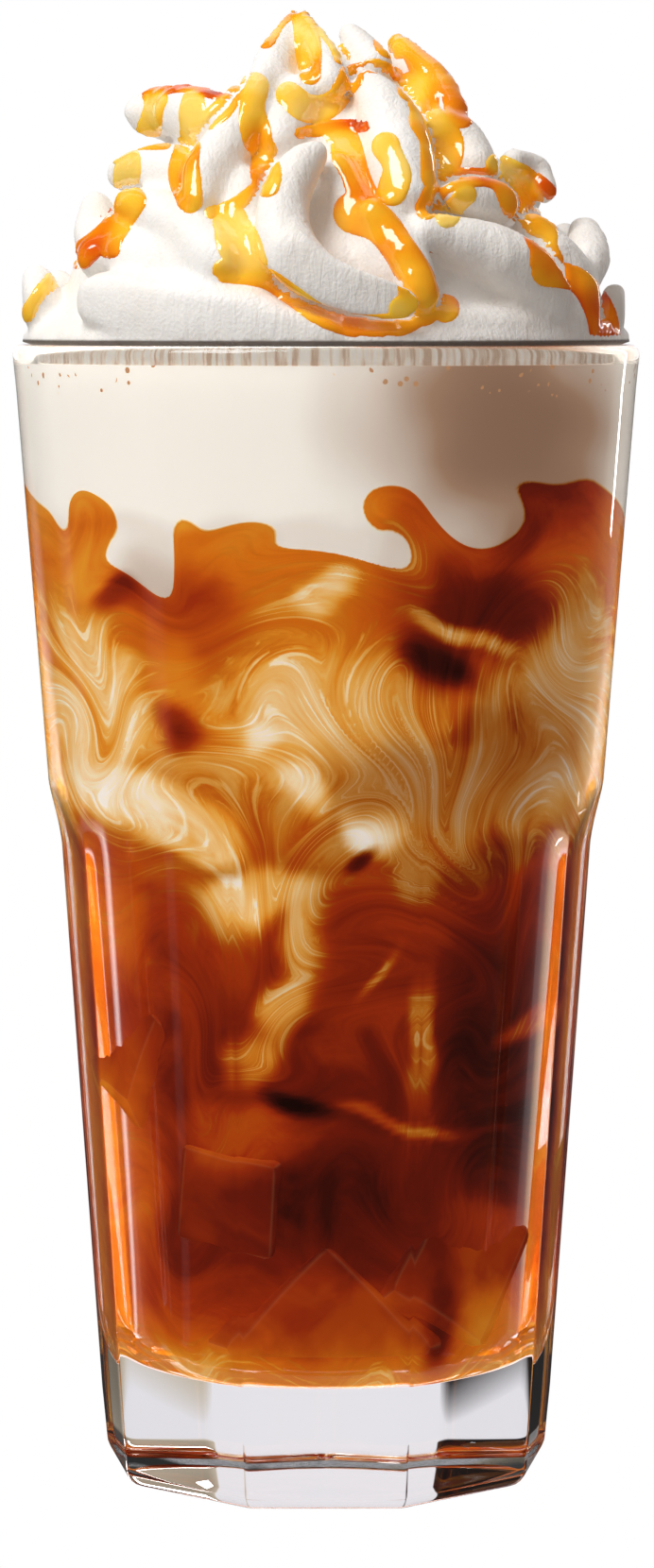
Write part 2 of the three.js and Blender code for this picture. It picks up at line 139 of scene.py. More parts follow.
# Clouds of milk and bodies of clear coffee as seen from the front, each laid over those before it:
# millimetres right of the axis, height, half width, half height, tilt in degrees, share of milk, and lightness
# of the coffee, which also lays painted shade on the milk.
CLOUDS = [
    # Clear coffee under the border of the milk.
    (25, 124, 16, 10, 0, 0.06, 0.46), (21, 125, 12, 6.4, -8, 0.02, 0.22), (34, 136, 7, 8, 0, 0.03, 0.62),
    (11.5, 133, 3.6, 7, 12, 0.3, 0.66), (27, 134, 5, 2.5, 40, 0.05, 0.4), (-26, 129, 13, 5, -8, 0.07, 0.92),
    (-20, 125, 11, 7.4, -28, 0.0, 0.52), (-14, 118, 6, 6, -50, 0.0, 0.5),
    (-28.5, 126, 3.2, 1.8, 0, 0.0, 0.28),
    # Swirls of milk above the shoulder, with dark holes in them.
    (-38, 122, 4, 8, 10, 0.3, 0.8), (-33, 111, 8, 12, 8, 0.52, 0.92), (-20, 113, 4, 7, 20, 0.16, 0.84),
    (-21.4, 109, 3.6, 3.4, -30, 0.0, 0.34), (-4, 112, 13, 11, -15, 0.55, 0.88),
    (0.5, 128, 5, 3, 20, 0.62, 0.86), (-9.4, 108.2, 3, 1.7, 0, 0.84, 0.95),
    (19, 121.4, 9, 1.5, -18, 0.5, 0.66), (34, 112, 7, 16, 0, 0.66, 0.56), (14, 101, 16, 7, 0, 0.46, 0.44),
    (27, 106, 8, 8, 20, 0.38, 0.38), (16, 117, 6.4, 3.2, -32, 0.0, 0.07), (22, 109, 5, 2, 10, 0.3, 0.4),
    # Bright curls at the shoulder, and the shade between them.
    (-3.4, 100.5, 4.6, 2.8, -30, 0.78, 0.9), (7.4, 94.4, 5, 2.4, -40, 0.86, 0.8),
    (12, 88.4, 3, 4, 0, 0.5, 0.5), (-27, 98, 11, 3.6, -14, 0.7, 1.0), (-16, 94, 6, 3.4, -30, 0.56, 0.92),
    (-23, 89.6, 9, 3.6, -25, 0.2, 0.56), (23, 90.5, 10, 3.6, 22, 0.3, 0.34), (5.4, 91, 3, 1.5, 25, 0.0, 0.12),
    # The plume of milk that sinks at the middle, and the coffee beside it.
    (-12, 84, 5, 4, 0, 0.58, 0.95), (-6, 87, 6, 4, 0, 0.56, 0.84), (-3, 80, 3.6, 7, 8, 0.52, 0.78),
    (-6, 71, 3.4, 6, -20, 0.48, 0.74), (-9.6, 63, 4.6, 2.8, 35, 0.4, 0.66), (-24, 73.8, 9, 4, -12, 0.1, 0.42),
    (-30, 80, 5, 8, 0, 0.14, 0.68), (6, 77, 8, 8, 0, 0.02, 0.36), (7, 75.5, 4.4, 0.9, 50, 0.34, 0.56),
    (28.5, 79, 6, 7, 0, 0.0, 0.32),
    # Dark coffee in the lower half, with thin threads of milk, and lighter coffee over the floor.
    (22, 60, 8, 22, 4, 0.0, 0.12), (27, 66, 4, 1.6, 30, 0.24, 0.5), (13, 66, 1.4, 8, 0, 0.3, 0.56),
    (-12, 52, 8, 6, 0, 0.16, 0.52), (0, 43, 12, 7.5, 0, 0.0, 0.14), (9, 54.5, 9, 1.2, -18, 0.3, 0.56),
    (-3.5, 57.4, 5.6, 2, -15, 0.0, 0.03), (-28, 46, 5, 20, 0, 0.12, 0.64), (0, 27.5, 16, 5, 0, 0.0, 0.42),
    # Painted shade over the milk at the right, then spots beside the ice at the lower right.
    (12, 150, 17, 12, 0, 0.04, 0.66), (26, 149, 16, 16, 0, 0.02, 0.24), (15.5, 26, 3, 7, 0, 0.0, 0.22),
    (22.5, 37, 5.4, 7, 0, 0.03, 0.46), (23.5, 24, 5, 5.6, 0, 0.14, 0.74),
]
# Their edges are bent by up to CLOUD_BEND in waves of about CLOUD_WAVE. CLOUD_SHIFT is how far apart the two
# bends, across and up, are read, so that they differ. A higher CLOUD_EDGE makes the edges sharper.
CLOUD_BEND = 2.4
CLOUD_WAVE = 8.0
CLOUD_SHIFT = (31, 0, 0)
CLOUD_EDGE = 1.8
# The back has the same clouds the other way round, wider by a share of BACK_WIDENING and lower by BACK_DROP.
BACK_WIDENING = 0.2
BACK_DROP = 5.0
# Painted light: towards the sides the coffee turns lighter and amber past this sine of the angle, standing in
# for light that comes through less coffee there.
PAINTED_GLOW_START = 0.92
PAINTED_GLOW_LIGHT = 0.78

# Width of the heap of cream at each height above the rim.
HEAP_HEIGHTS = [0, 6, 12, 15, 20, 24, 28, 33, 37, 41, 47]
HEAP_RADII = [42, 42.5, 40, 37, 34, 31, 26.5, 22, 17, 11, 2]

# Folds of cream as seen from the front: how far each stands out, and its run of balls as millimetres right of
# the axis, millimetres above the rim, radius.
FOLDS = [
    (2, [(-31.2, 6, 4.2), (-27.4, 5.2, 5.1), (-22.8, 4.4, 5.4), (-17.4, 3.7, 5.4), (-11.4, 2.9, 5),
           (-6, 1.8, 3.9), (-0.6, 0.6, 3.1)]),
    (-0.2, [(-0.6, 0.5, 2.9), (5.4, 0.4, 2.8), (11.4, 0.8, 3.2), (17.5, 1.4, 3.9), (23.5, 1.6, 4.2),
           (28.8, 1.6, 4), (34.2, 1.4, 3.6), (38, 1.2, 2.8)]),
    (-0.4, [(-40.6, 8.5, 2.8), (-40.6, 5, 3.1)]),
    (-1.2, [(-32.3, 19.1, 2.5), (-32.4, 15.5, 3.1), (-31.7, 12.1, 3.4)]),
    (-1.8, [(-30.1, 14.6, 3.6), (-26.1, 12, 3.8), (-19.4, 11, 3.8)]),
    (1.4, [(-27.8, 19.6, 2.2), (-24.6, 18.8, 3.1), (-20.8, 16.6, 3.9), (-17.4, 13.8, 3.9), (-15, 11.4, 3.1)]),
    (0.2, [(-28.6, 23.7, 2.4), (-25.6, 24.5, 3.2), (-21.7, 24.1, 3.9), (-17.4, 22.7, 3.2)]),
    (-0.2, [(-26, 32.5, 2.4), (-22.6, 32.8, 3.5), (-18.7, 32.1, 4), (-14.7, 31.4, 3.8)]),
    (3.2, [(-8.9, 37.5, 1.7), (-9.6, 34.5, 2.5), (-11.6, 30.9, 3.1), (-14.4, 27.2, 3.5), (-16.7, 23.5, 3.4),
           (-17.8, 20.1, 2.3)]),
    (1.2, [(-4.5, 45.6, 1.2), (-5.7, 42.7, 2.3), (-6.9, 39.6, 3.1), (-7.9, 36.5, 3.2)]),
    (1.8, [(-3.1, 45.5, 1.2), (-1.6, 42.4, 2), (0, 39.2, 2.5), (0.7, 36.3, 2.5)]),
    (-0.8, [(3.4, 43.2, 1.7), (5.1, 41.2, 2.3), (6.9, 39, 2.7)]),
    (0.6, [(10.2, 41.5, 1.7), (12.4, 39, 2.5), (15.3, 35.6, 3.1), (17, 32.1, 3.1)]),
    (2.4, [(5.9, 36.5, 2), (7.8, 33.2, 3.6), (9.8, 28.8, 4.7), (10.6, 24.5, 4.8), (11.4, 20.6, 3.6)]),
    (0.4, [(15.8, 29.8, 3.1), (18.7, 27.8, 3.9), (20.9, 24.7, 3.5)]),
    (-0.6, [(26.2, 25.5, 2.1), (29.2, 24.2, 2.5), (30.6, 21.5, 2.1)]),
    (-0.4, [(-3.1, 35.2, 2.9), (-5.2, 31.8, 3.4), (-6, 28.5, 3.1)]),
    (4.4, [(-1.4, 26.6, 1.9), (-3.7, 24.2, 3.1), (-5.7, 20.2, 3.8), (-5.9, 15.5, 4), (-3.3, 11.1, 3.9),
           (1.4, 8.3, 3.4), (6.7, 6.7, 2.8), (11.6, 5.6, 2)]),
    (-2.4, [(1, 23.5, 3.4), (3, 19.5, 3.6), (5.8, 15.1, 3.4), (8.7, 10.1, 3.4)]),
    (0.8, [(6.9, 18, 2.5), (9.5, 14.7, 3.1), (11.8, 11.1, 3.2), (13.3, 7.1, 2.7)]),
    (2.6, [(14.1, 15.9, 2.3), (17.9, 14.6, 3.5), (23.2, 12.6, 4.3), (28, 9.9, 4.2), (31.8, 6.7, 3.2)]),
    (2.2, [(18, 20.9, 2), (20.8, 20.3, 3.2), (23.6, 19.7, 3.4)]),
    (0.8, [(28.8, 15.5, 2.9), (31.9, 12.1, 3.8), (34.2, 8.4, 4.2), (35.4, 4.5, 3.5)]),
    (1.2, [(36.1, 15.8, 2.4), (36.9, 12.8, 3.2), (36.6, 9.5, 2.5)]),
    (-0.2, [(40.5, 6.8, 1.9), (40.2, 3.4, 2.3)]),
    (-2, [(-11.4, 20.9, 4), (-12, 15.5, 4.2), (-10, 9.5, 4.2)]),
]
BALL_STEP = 1.0
# The heap's solid core is narrower than its outline by CORE_INSET, and fills the mouth of the glass.
CORE_INSET = 5.0
CORE_MOUTH = 43.0
CORE_DEPTH = 6.0
CORE_TOP = 40.0
# Rounds that ease the joined folds. The skin then swells here and there: how far, over what width, and where
# the noise is read.
EASING_ROUNDS = 7
SWELLS = [(0.35, 8.0, 0.0), (0.12, 2.6, 9.0)]
# The cream reaches into the wall by CREAM_OVERLAP, but not at the lip, and into the milk by CREAM_SINK. Above
# the rim it nears its reach softly.
CREAM_OVERLAP = 0.1
LIP_CLEARANCE = 0.3
CREAM_SOFTENING = 2.0
CREAM_SINK = 0.05
# Size of the back's folds and pours beside the front's.
BACK_FOLDS = 0.96
BACK_POURS = 0.95

# Caramel as seen from the front: (width, tint, route), where tint goes from 0, thin and yellow, to 1, thick
# and red, and a route's points are millimetres right of the axis and above the rim.
DRIZZLE = [
    (2.9, 0.55, [(-8.5, 42.8), (-7.1, 45.1), (-4.7, 46.5), (-2.4, 45.5)]),
    (3.3, 0.35, [(-3.3, 45.6), (-2.6, 42.3), (-2.2, 37.7)]),
    (2.2, 0.15, [(-0.1, 44.2), (1, 42.3), (2.2, 40.2)]),
    (4.4, 0.7, [(9.1, 42.3), (12, 41.5), (14.6, 37.7)]),
    (3.7, 0.6, [(12, 35.9), (14.1, 36.4), (17.5, 35.6), (18.9, 32.2)]),
    (3.9, 0.5, [(13.2, 36.5), (13.8, 32.9)]),
    (5.4, 0.45, [(14.1, 31.4), (16.2, 28.2), (15.8, 23.7)]),
    (1.8, 0.5, [(2.7, 37.9), (6.7, 38.8), (9.8, 37.6)]),
    (3.8, 0.2, [(-10, 35.9), (-10.3, 32.2), (-9.6, 28.6)]),
    (3.5, 0.3, [(-5.2, 34.8), (-2.6, 32.9), (0.7, 33.5), (3.5, 37.2)]),
    (1.9, 0.85, [(-3.6, 29.4), (0.7, 30.2), (5.3, 30.5)]),
    (4.3, 0.5, [(2, 28.9), (3.9, 24.2), (5.5, 19.5)]),
    (3.8, 0.12, [(8.4, 27.6), (9.9, 24.2), (9.3, 21.4)]),
    (5.1, 0.7, [(3.9, 18.4), (7.4, 16.8), (10.1, 13.5), (12.4, 9.5), (13.4, 5.4)]),
    (3.9, 0.35, [(-8.7, 26.9), (-8.3, 22.5)]),
    (1.9, 0.45, [(-16.2, 18.4), (-12.7, 19.5), (-9.5, 22.1)]),
    (5.4, 0.2, [(-13.4, 17.1), (-12.3, 14.2), (-10.7, 11.1)]),
    (3.1, 0.5, [(-14.3, 10.3), (-8.7, 9.3), (-4.7, 6.8), (-0.6, 4), (4.7, 2.5), (10.1, 2.8), (13.4, 4.5)]),
    (4, 0.45, [(-19.4, 27.4), (-19.9, 24.2), (-19.1, 20.2)]),
    (3.4, 0.2, [(-27.6, 25.8), (-28, 22.9), (-28, 20.5)]),
    (1.7, 0.4, [(-29.5, 26.1), (-26.8, 27.8), (-22.6, 28.1)]),
    (2.2, 0.95, [(-24.6, 34.8), (-22.8, 35.9), (-19.4, 36.1), (-15.6, 35.3)]),
    (3.1, 0.15, [(-23.8, 34.3), (-25, 29.2)]),
    (3.4, 0.1, [(-18.6, 33.9), (-18.9, 29.6)]),
    (2.7, 0.3, [(-16.5, 31.2), (-14.4, 32.9), (-12.7, 34.8)]),
    (3.6, 0.7, [(-27.2, 20.1), (-29.5, 16.8), (-32, 14.4), (-34.4, 12.4)]),
    (2.9, 0.5, [(-28.6, 17.5), (-30.4, 13.5)]),
    (2.2, 0.15, [(-38, 9.3), (-40, 7.3), (-42, 4.2)]),
    (2.9, 0.75, [(14.1, 19), (16.1, 22.2), (20.1, 23.3), (24.2, 22.7), (26.2, 19.1)]),
    (2.9, 0.3, [(17, 17.8), (19.5, 20.9)]),
    (3.4, 0.3, [(24, 25.1), (26.8, 23.3), (28.8, 20.9), (28.2, 18.2)]),
    (1.9, 0.8, [(24.2, 25.5), (28.8, 23.5), (33.5, 19.5), (36.1, 19.1)]),
    (4.3, 0.6, [(29.9, 16.6), (31, 11.5)]),
    (3.8, 0.75, [(30.9, 10.1), (35.5, 8.8), (38.4, 4.8), (39.4, 0.6)]),
    (3.6, 0.55, [(10.8, 4.8), (13.4, 6.1), (16.8, 5)]),
]
BACK_DRIZZLE = [0, 1, 3, 6, 8, 11, 13, 16, 17, 18, 25, 28, 32]
POUR_STEP = 0.5
# A pour's half width as a share of its width, how far that swings along it, and how much redder it ends than it
# starts.
POUR_HALF = 0.53
POUR_SWING = 0.1
POUR_REDDENING = 0.25
# A pour is cut out of the cream's skin at CUT_AT, where 1 is its edge. It stays off the rim, and off cream that
# is turned away from the eye or lies HIDDEN_DEPTH behind what the eye sees first.
CUT_AT = 1.5
RIM_CLEARANCE = 0.8
HIDDEN_DEPTH = 3.5
TURNED_AWAY = 0.05
# It pools in the creases up to POOL_DEPTH, less and less over the last POOL_FADE before POOL_EDGE.
POOL_DEPTH = 0.5
POOL_ROUNDS = 9
POOL_EDGE = 1.05
POOL_FADE = 0.4
# All of it is sunk by SINK. Past its edge it dips at the slope EDGE_DIP, and the rows of points along a cut go
# down to CUT_DIP. The three are shares of its thickness. CARAMEL_BACKING is how deep its closed back lies.
SINK = 0.2
EDGE_DIP = 2.5
CUT_ROWS = 3
CUT_DIP = 0.6
CARAMEL_BACKING = 0.5
# Its tint: the thinnest, how much the pour's own counts, and how much redder its thick edge is.
THINNEST_TINT = 0.04
OWN_TINT = 0.78
EDGE_TINT = 0.12

# Ice cubes that show through the wall: degrees from the front, height, edge, and turns in degrees about X, Y
# and Z.
ICE = [
    (-26, 44, 14, 12, 8, -30), (-2, 23, 22, 6, 45, 8), (40, 31, 19, -20, 30, 35), (-58, 60, 16, 20, 30, 5),
    (150, 48, 20, 25, 40, 10), (205, 34, 19, -15, 30, 20), (95, 40, 19, 20, 15, 35),
]
# A cube's bevel and how far its middle stays inside the bore, as shares of its edge, how far it may reach into
# the wall, how low it may hang, and how much its faces differ in lightness, as painted shade.
ICE_BEVEL = 0.09
ICE_INSET = 0.42
ICE_SHOW = 0.4
ICE_LOWEST = FLOOR_THICKNESS + 5
ICE_FACE_SHADE_STEP = 0.05


def linear(code):
    """Turns an sRGB colour such as "#F3EDE4" into linear red, green, blue and alpha."""
    shares = [int(code[i:i + 2], 16) / 255 for i in (1, 3, 5)]
    return (*(c / 12.92 if c <= 0.04045 else ((c + 0.055) / 1.055) ** 2.4 for c in shares), 1.0)


def add(tree, kind, settings=None, inputs=None, stops=None):
    """Adds a node with its settings, its input values or links, and the stops of a colour ramp."""
    made = tree.nodes.new(kind)
    for name, value in (settings or {}).items():
        setattr(made, name, value)
    for name, value in (inputs or {}).items():
        if isinstance(value, bpy.types.NodeSocket):
            tree.links.new(value, made.inputs[name])
        else:
            made.inputs[name].default_value = value
    if stops:
        band = made.color_ramp.elements
        while len(band) < len(stops):
            band.new(0.5)
        for element, (place, colour) in zip(band, stops):
            element.position = place
            element.color = colour
    return made


def new_material(name):
    material = bpy.data.materials.new(name)
    material.use_nodes = True
    material.node_tree.nodes.clear()
    return material, material.node_tree


def grey(value):
    return (value, value, value, 1.0)


# The studio by direction, as ring() reads it: cards that the glass mirrors and bends, white behind it and dark
# at its sides, and soft walls and a ceiling that light what is matt.
CARDS = [
    (0.0, grey(0.02)), (0.19, grey(0.02)), (0.20, grey(0.4)), (0.215, grey(0.4)), (0.225, grey(0.03)),
    (0.335, grey(0.05)), (0.35, grey(0.6)), (0.375, linear("#141010")), (0.425, linear("#221C1A")),
    (0.445, linear("#EDEBF0")), (0.555, linear("#EDEBF0")), (0.575, linear("#CCC0AE")),
    (0.62, linear("#978A78")), (0.64, grey(0.1)), (0.67, grey(0.05)), (1.0, grey(0.02)),
]
WALLS = [
    (0.0, linear("#A89888")), (0.12, grey(0.6)), (0.25, grey(0.75)), (0.4, grey(0.6)), (0.55, grey(0.4)),
    (0.7, linear("#7A5A48")), (0.85, linear("#6A4C3C")), (1.0, linear("#A89888")),
]
CEILING = grey(0.4)


def object_from(shape, name, material):
    """Makes a smooth object in metres from a bmesh in millimetres."""
    bmesh.ops.scale(shape, vec=(MM, MM, MM), verts=shape.verts)
    mesh = bpy.data.meshes.new(name)
    shape.to_mesh(mesh)
    shape.free()
    mesh.shade_smooth()
    mesh.materials.append(material)
    made = bpy.data.objects.new(name, mesh)
    bpy.context.collection.objects.link(made)
    return made


def read_points(mesh):
    points = np.empty(len(mesh.vertices) * 3)
    mesh.vertices.foreach_get("co", points)
    return points.reshape(-1, 3)


def read_links(mesh):
    links = np.empty(len(mesh.edges) * 2, dtype=int)
    mesh.edges.foreach_get("vertices", links)
    return links.reshape(-1, 2)


def spun(profile, steps):
    """Turns [radius, height] points about the upright axis into a closed shell."""
    shape = bmesh.new()
    points = [shape.verts.new((0, -radius, height)) for radius, height in profile]
    lines = [shape.edges.new(pair) for pair in zip(points, points[1:])]
    bmesh.ops.spin(
        shape, geom=points + lines, cent=(0, 0, 0), axis=(0, 0, 1), angle=2 * math.pi, steps=steps,
        use_merge=True,
    )
    bmesh.ops.remove_doubles(shape, verts=shape.verts, dist=1e-4)
    bmesh.ops.dissolve_degenerate(shape, dist=1e-5, edges=shape.edges)
    bmesh.ops.recalc_face_normals(shape, faces=shape.faces)
    return shape


def arc(centre_radius, centre_height, size, start, end, steps):
    """Points along an arc in the plane of radius and height, from start to end degrees."""
    turns = [math.radians(start + (end - start) * i / steps) for i in range(steps + 1)]
    return [(centre_radius + size * math.cos(t), centre_height + size * math.sin(t)) for t in turns]


def cone_radius(height, glass):
    """The outer radius at a height, before the facets are pressed."""
    heights = [0, SHOULDER_HEIGHT, glass.height]
    return float(np.interp(height, heights, [FOOT_RADIUS, SHOULDER_RADIUS, glass.rim_radius]))


def bore_radius(height, glass):
    """The bore's radius at a height, or at an array of heights."""
    heights = [FLOOR_THICKNESS, SHOULDER_HEIGHT - ARCH_HEIGHT, glass.height]
    return np.interp(height, heights, [FLOOR_RADIUS, SHOULDER_BORE, glass.rim_radius - RIM_WALL])


def floor_corner(grow, glass):
    """The rounded corner between bore and floor, from the bore down, grown into the glass by grow."""
    corner = arc(FLOOR_RADIUS - FLOOR_FILLET, FLOOR_THICKNESS + FLOOR_FILLET, FLOOR_FILLET + grow, 0, -90, 10)
    return [(radius + float(bore_radius(height, glass)) - FLOOR_RADIUS, height) for radius, height in corner]


def layer_height(angle):
    """Height of the border between coffee and milk at an angle in radians, or at an array of angles."""
    degrees = (np.degrees(angle) + 90) % 360 - 90
    knots = np.array(LAYER)
    total = 0
    for step in LAYER_SOFTENING:
        total = total + np.interp((degrees + step + 90) % 360 - 90, knots[:, 0], knots[:, 1])
    return total / len(LAYER_SOFTENING)


def heap_radius(height):
    return float(np.interp(height, HEAP_HEIGHTS, HEAP_RADII))


def on_heap(x, height, radius, out, side, rim):
    """Where a ball of cream sits so that it shows at x and height and stands out of the outline by out."""
    depth = max(math.sqrt(max(heap_radius(height) ** 2 - x * x, 0)) + out - radius, 0)
    near = 1 - depth / EYE_DISTANCE
    level = EYE_HEIGHT + (rim + height - EYE_HEIGHT) * near
    return Vector((x * near, -side * depth, level))


def relaxed(points, links, rounds):
    """Moves each point half way towards the middle of the points it is linked to, round after round."""
    count = np.bincount(links.ravel(), minlength=len(points))
    first, second = links.T
    for _ in range(rounds):
        middles = []
        for column in points.T:
            total = np.bincount(first, column[second], len(points))
            total = total + np.bincount(second, column[first], len(points))
            middles.append(total / count)
        points = (points + np.stack(middles, axis=1)) / 2
    return points


def along(points, step):
    """Points every step along a smooth line through the given tuples."""
    knots = [Vector(p) for p in points]
    ends = [knots[0] * 2 - knots[1], *knots, knots[-1] * 2 - knots[-2]]
    made = []
    for a, b, c, d in zip(ends, ends[1:], ends[2:], ends[3:]):
        bend = 2 * a - 5 * b + 4 * c - d
        swing = 3 * b - a - 3 * c + d
        count = max(int((c - b).length / step), 1)
        for i in range(count):
            t = i / count
            made.append(0.5 * (2 * b + (c - a) * t + bend * t * t + swing * t ** 3))
    return [*made, knots[-1]]


def stirred(angle, height):
    """Follows points on the wall back through the whirls, to the place in still layers they came from."""
    reach = 2 * math.pi * STIR_RADIUS
    spot = angle * STIR_RADIUS
    level = height.copy()
    far_side = [
        (180 - turn * BACK_WHIRL_SPREAD, at + BACK_WHIRL_RISE, size, -turns)
        for turn, at, size, turns in WHIRLS
    ]
    for turn, at, size, turns in reversed([*WHIRLS, *far_side]):
        across = (spot - math.radians(turn) * STIR_RADIUS + reach / 2) % reach - reach / 2
        up = level - at
        twist = -WHIRL_STRENGTH * turns * np.exp(-(across ** 2 + up ** 2) / size ** 2)
        spot = spot - across + across * np.cos(twist) - up * np.sin(twist)
        level = at + across * np.sin(twist) + up * np.cos(twist)
    level = level + LAYER_MIDDLE - layer_height(spot / STIR_RADIUS)
    turn = spot / STIR_RADIUS
    return np.stack([STIR_RADIUS * np.sin(turn), -STIR_RADIUS * np.cos(turn), level], axis=1)


def clouded(angle, height):
    """Share of milk and lightness of the coffee at points on the wall, laid in cloud by cloud."""
    behind = np.maximum(-np.cos(angle), 0)
    reach = np.interp(height, SEEN_HEIGHTS, SEEN_RADII)
    across = reach * np.sin(angle) * (1 - BACK_WIDENING * behind)
    up = height + BACK_DROP * behind
    places = [Vector(place) for place in zip(across / CLOUD_WAVE, up / CLOUD_WAVE, behind * 3)]
    across = across + CLOUD_BEND * np.array([noise.noise(place) for place in places])
    up = up + CLOUD_BEND * np.array([noise.noise(place + Vector(CLOUD_SHIFT)) for place in places])
    milk = np.interp(up, STILL_HEIGHTS, STILL_MILK)
    light = np.interp(up, [*STILL_HEIGHTS, LAYER_MIDDLE + 4], [*STILL_LIGHT, 0.95])
    for x, z, wide, high, tilt, share, lightness in CLOUDS:
        turn = math.radians(tilt)
        run = ((across - x) * math.cos(turn) + (up - z) * math.sin(turn)) / wide
        rise = ((up - z) * math.cos(turn) - (across - x) * math.sin(turn)) / high
        weight = np.exp(-((run ** 2 + rise ** 2) ** CLOUD_EDGE))
        milk = milk + weight * (share - milk)
        light = light + weight * (lightness - light)
    # Painted light: lighter and amber towards the sides.
    side = np.clip((np.abs(np.sin(angle)) - PAINTED_GLOW_START) / (1 - PAINTED_GLOW_START), 0, 1)
    return milk, light + side * (PAINTED_GLOW_LIGHT - light)


def put(mesh, name, values):
    """Keeps a number for each point of a mesh."""
    mesh.attributes.new(name, "FLOAT", "POINT").data.foreach_set("value", values)


def glass_material(tint):
    """Clear pressed soda-lime glass, fire polished: sharp highlights and bent views of what is behind it."""
    material, tree = new_material("pressed_soda_lime_glass")
    surface = add(tree, "ShaderNodeBsdfPrincipled", None, {
        "Base Color": (*tint, 1.0), "Roughness": 0.0, "IOR": 1.5, "Transmission Weight": 1.0,
    })
    add(tree, "ShaderNodeOutputMaterial", None, {"Surface": surface.outputs["BSDF"]})
    return material


def coffee_colour(tree, light):
    """Cold coffee by how much light comes through: near black, red-brown, then amber."""
    return add(tree, "ShaderNodeValToRGB", None, {"Fac": light}, [
        (0.0, linear("#160402")), (0.12, linear("#380C05")), (0.30, linear("#6A1807")),
        (0.45, linear("#982C09")), (0.60, linear("#B84A0C")), (0.75, linear("#D06A12")),
        (0.90, linear("#E29026")), (1.0, linear("#EBAA40")),
    ]).outputs["Color"]


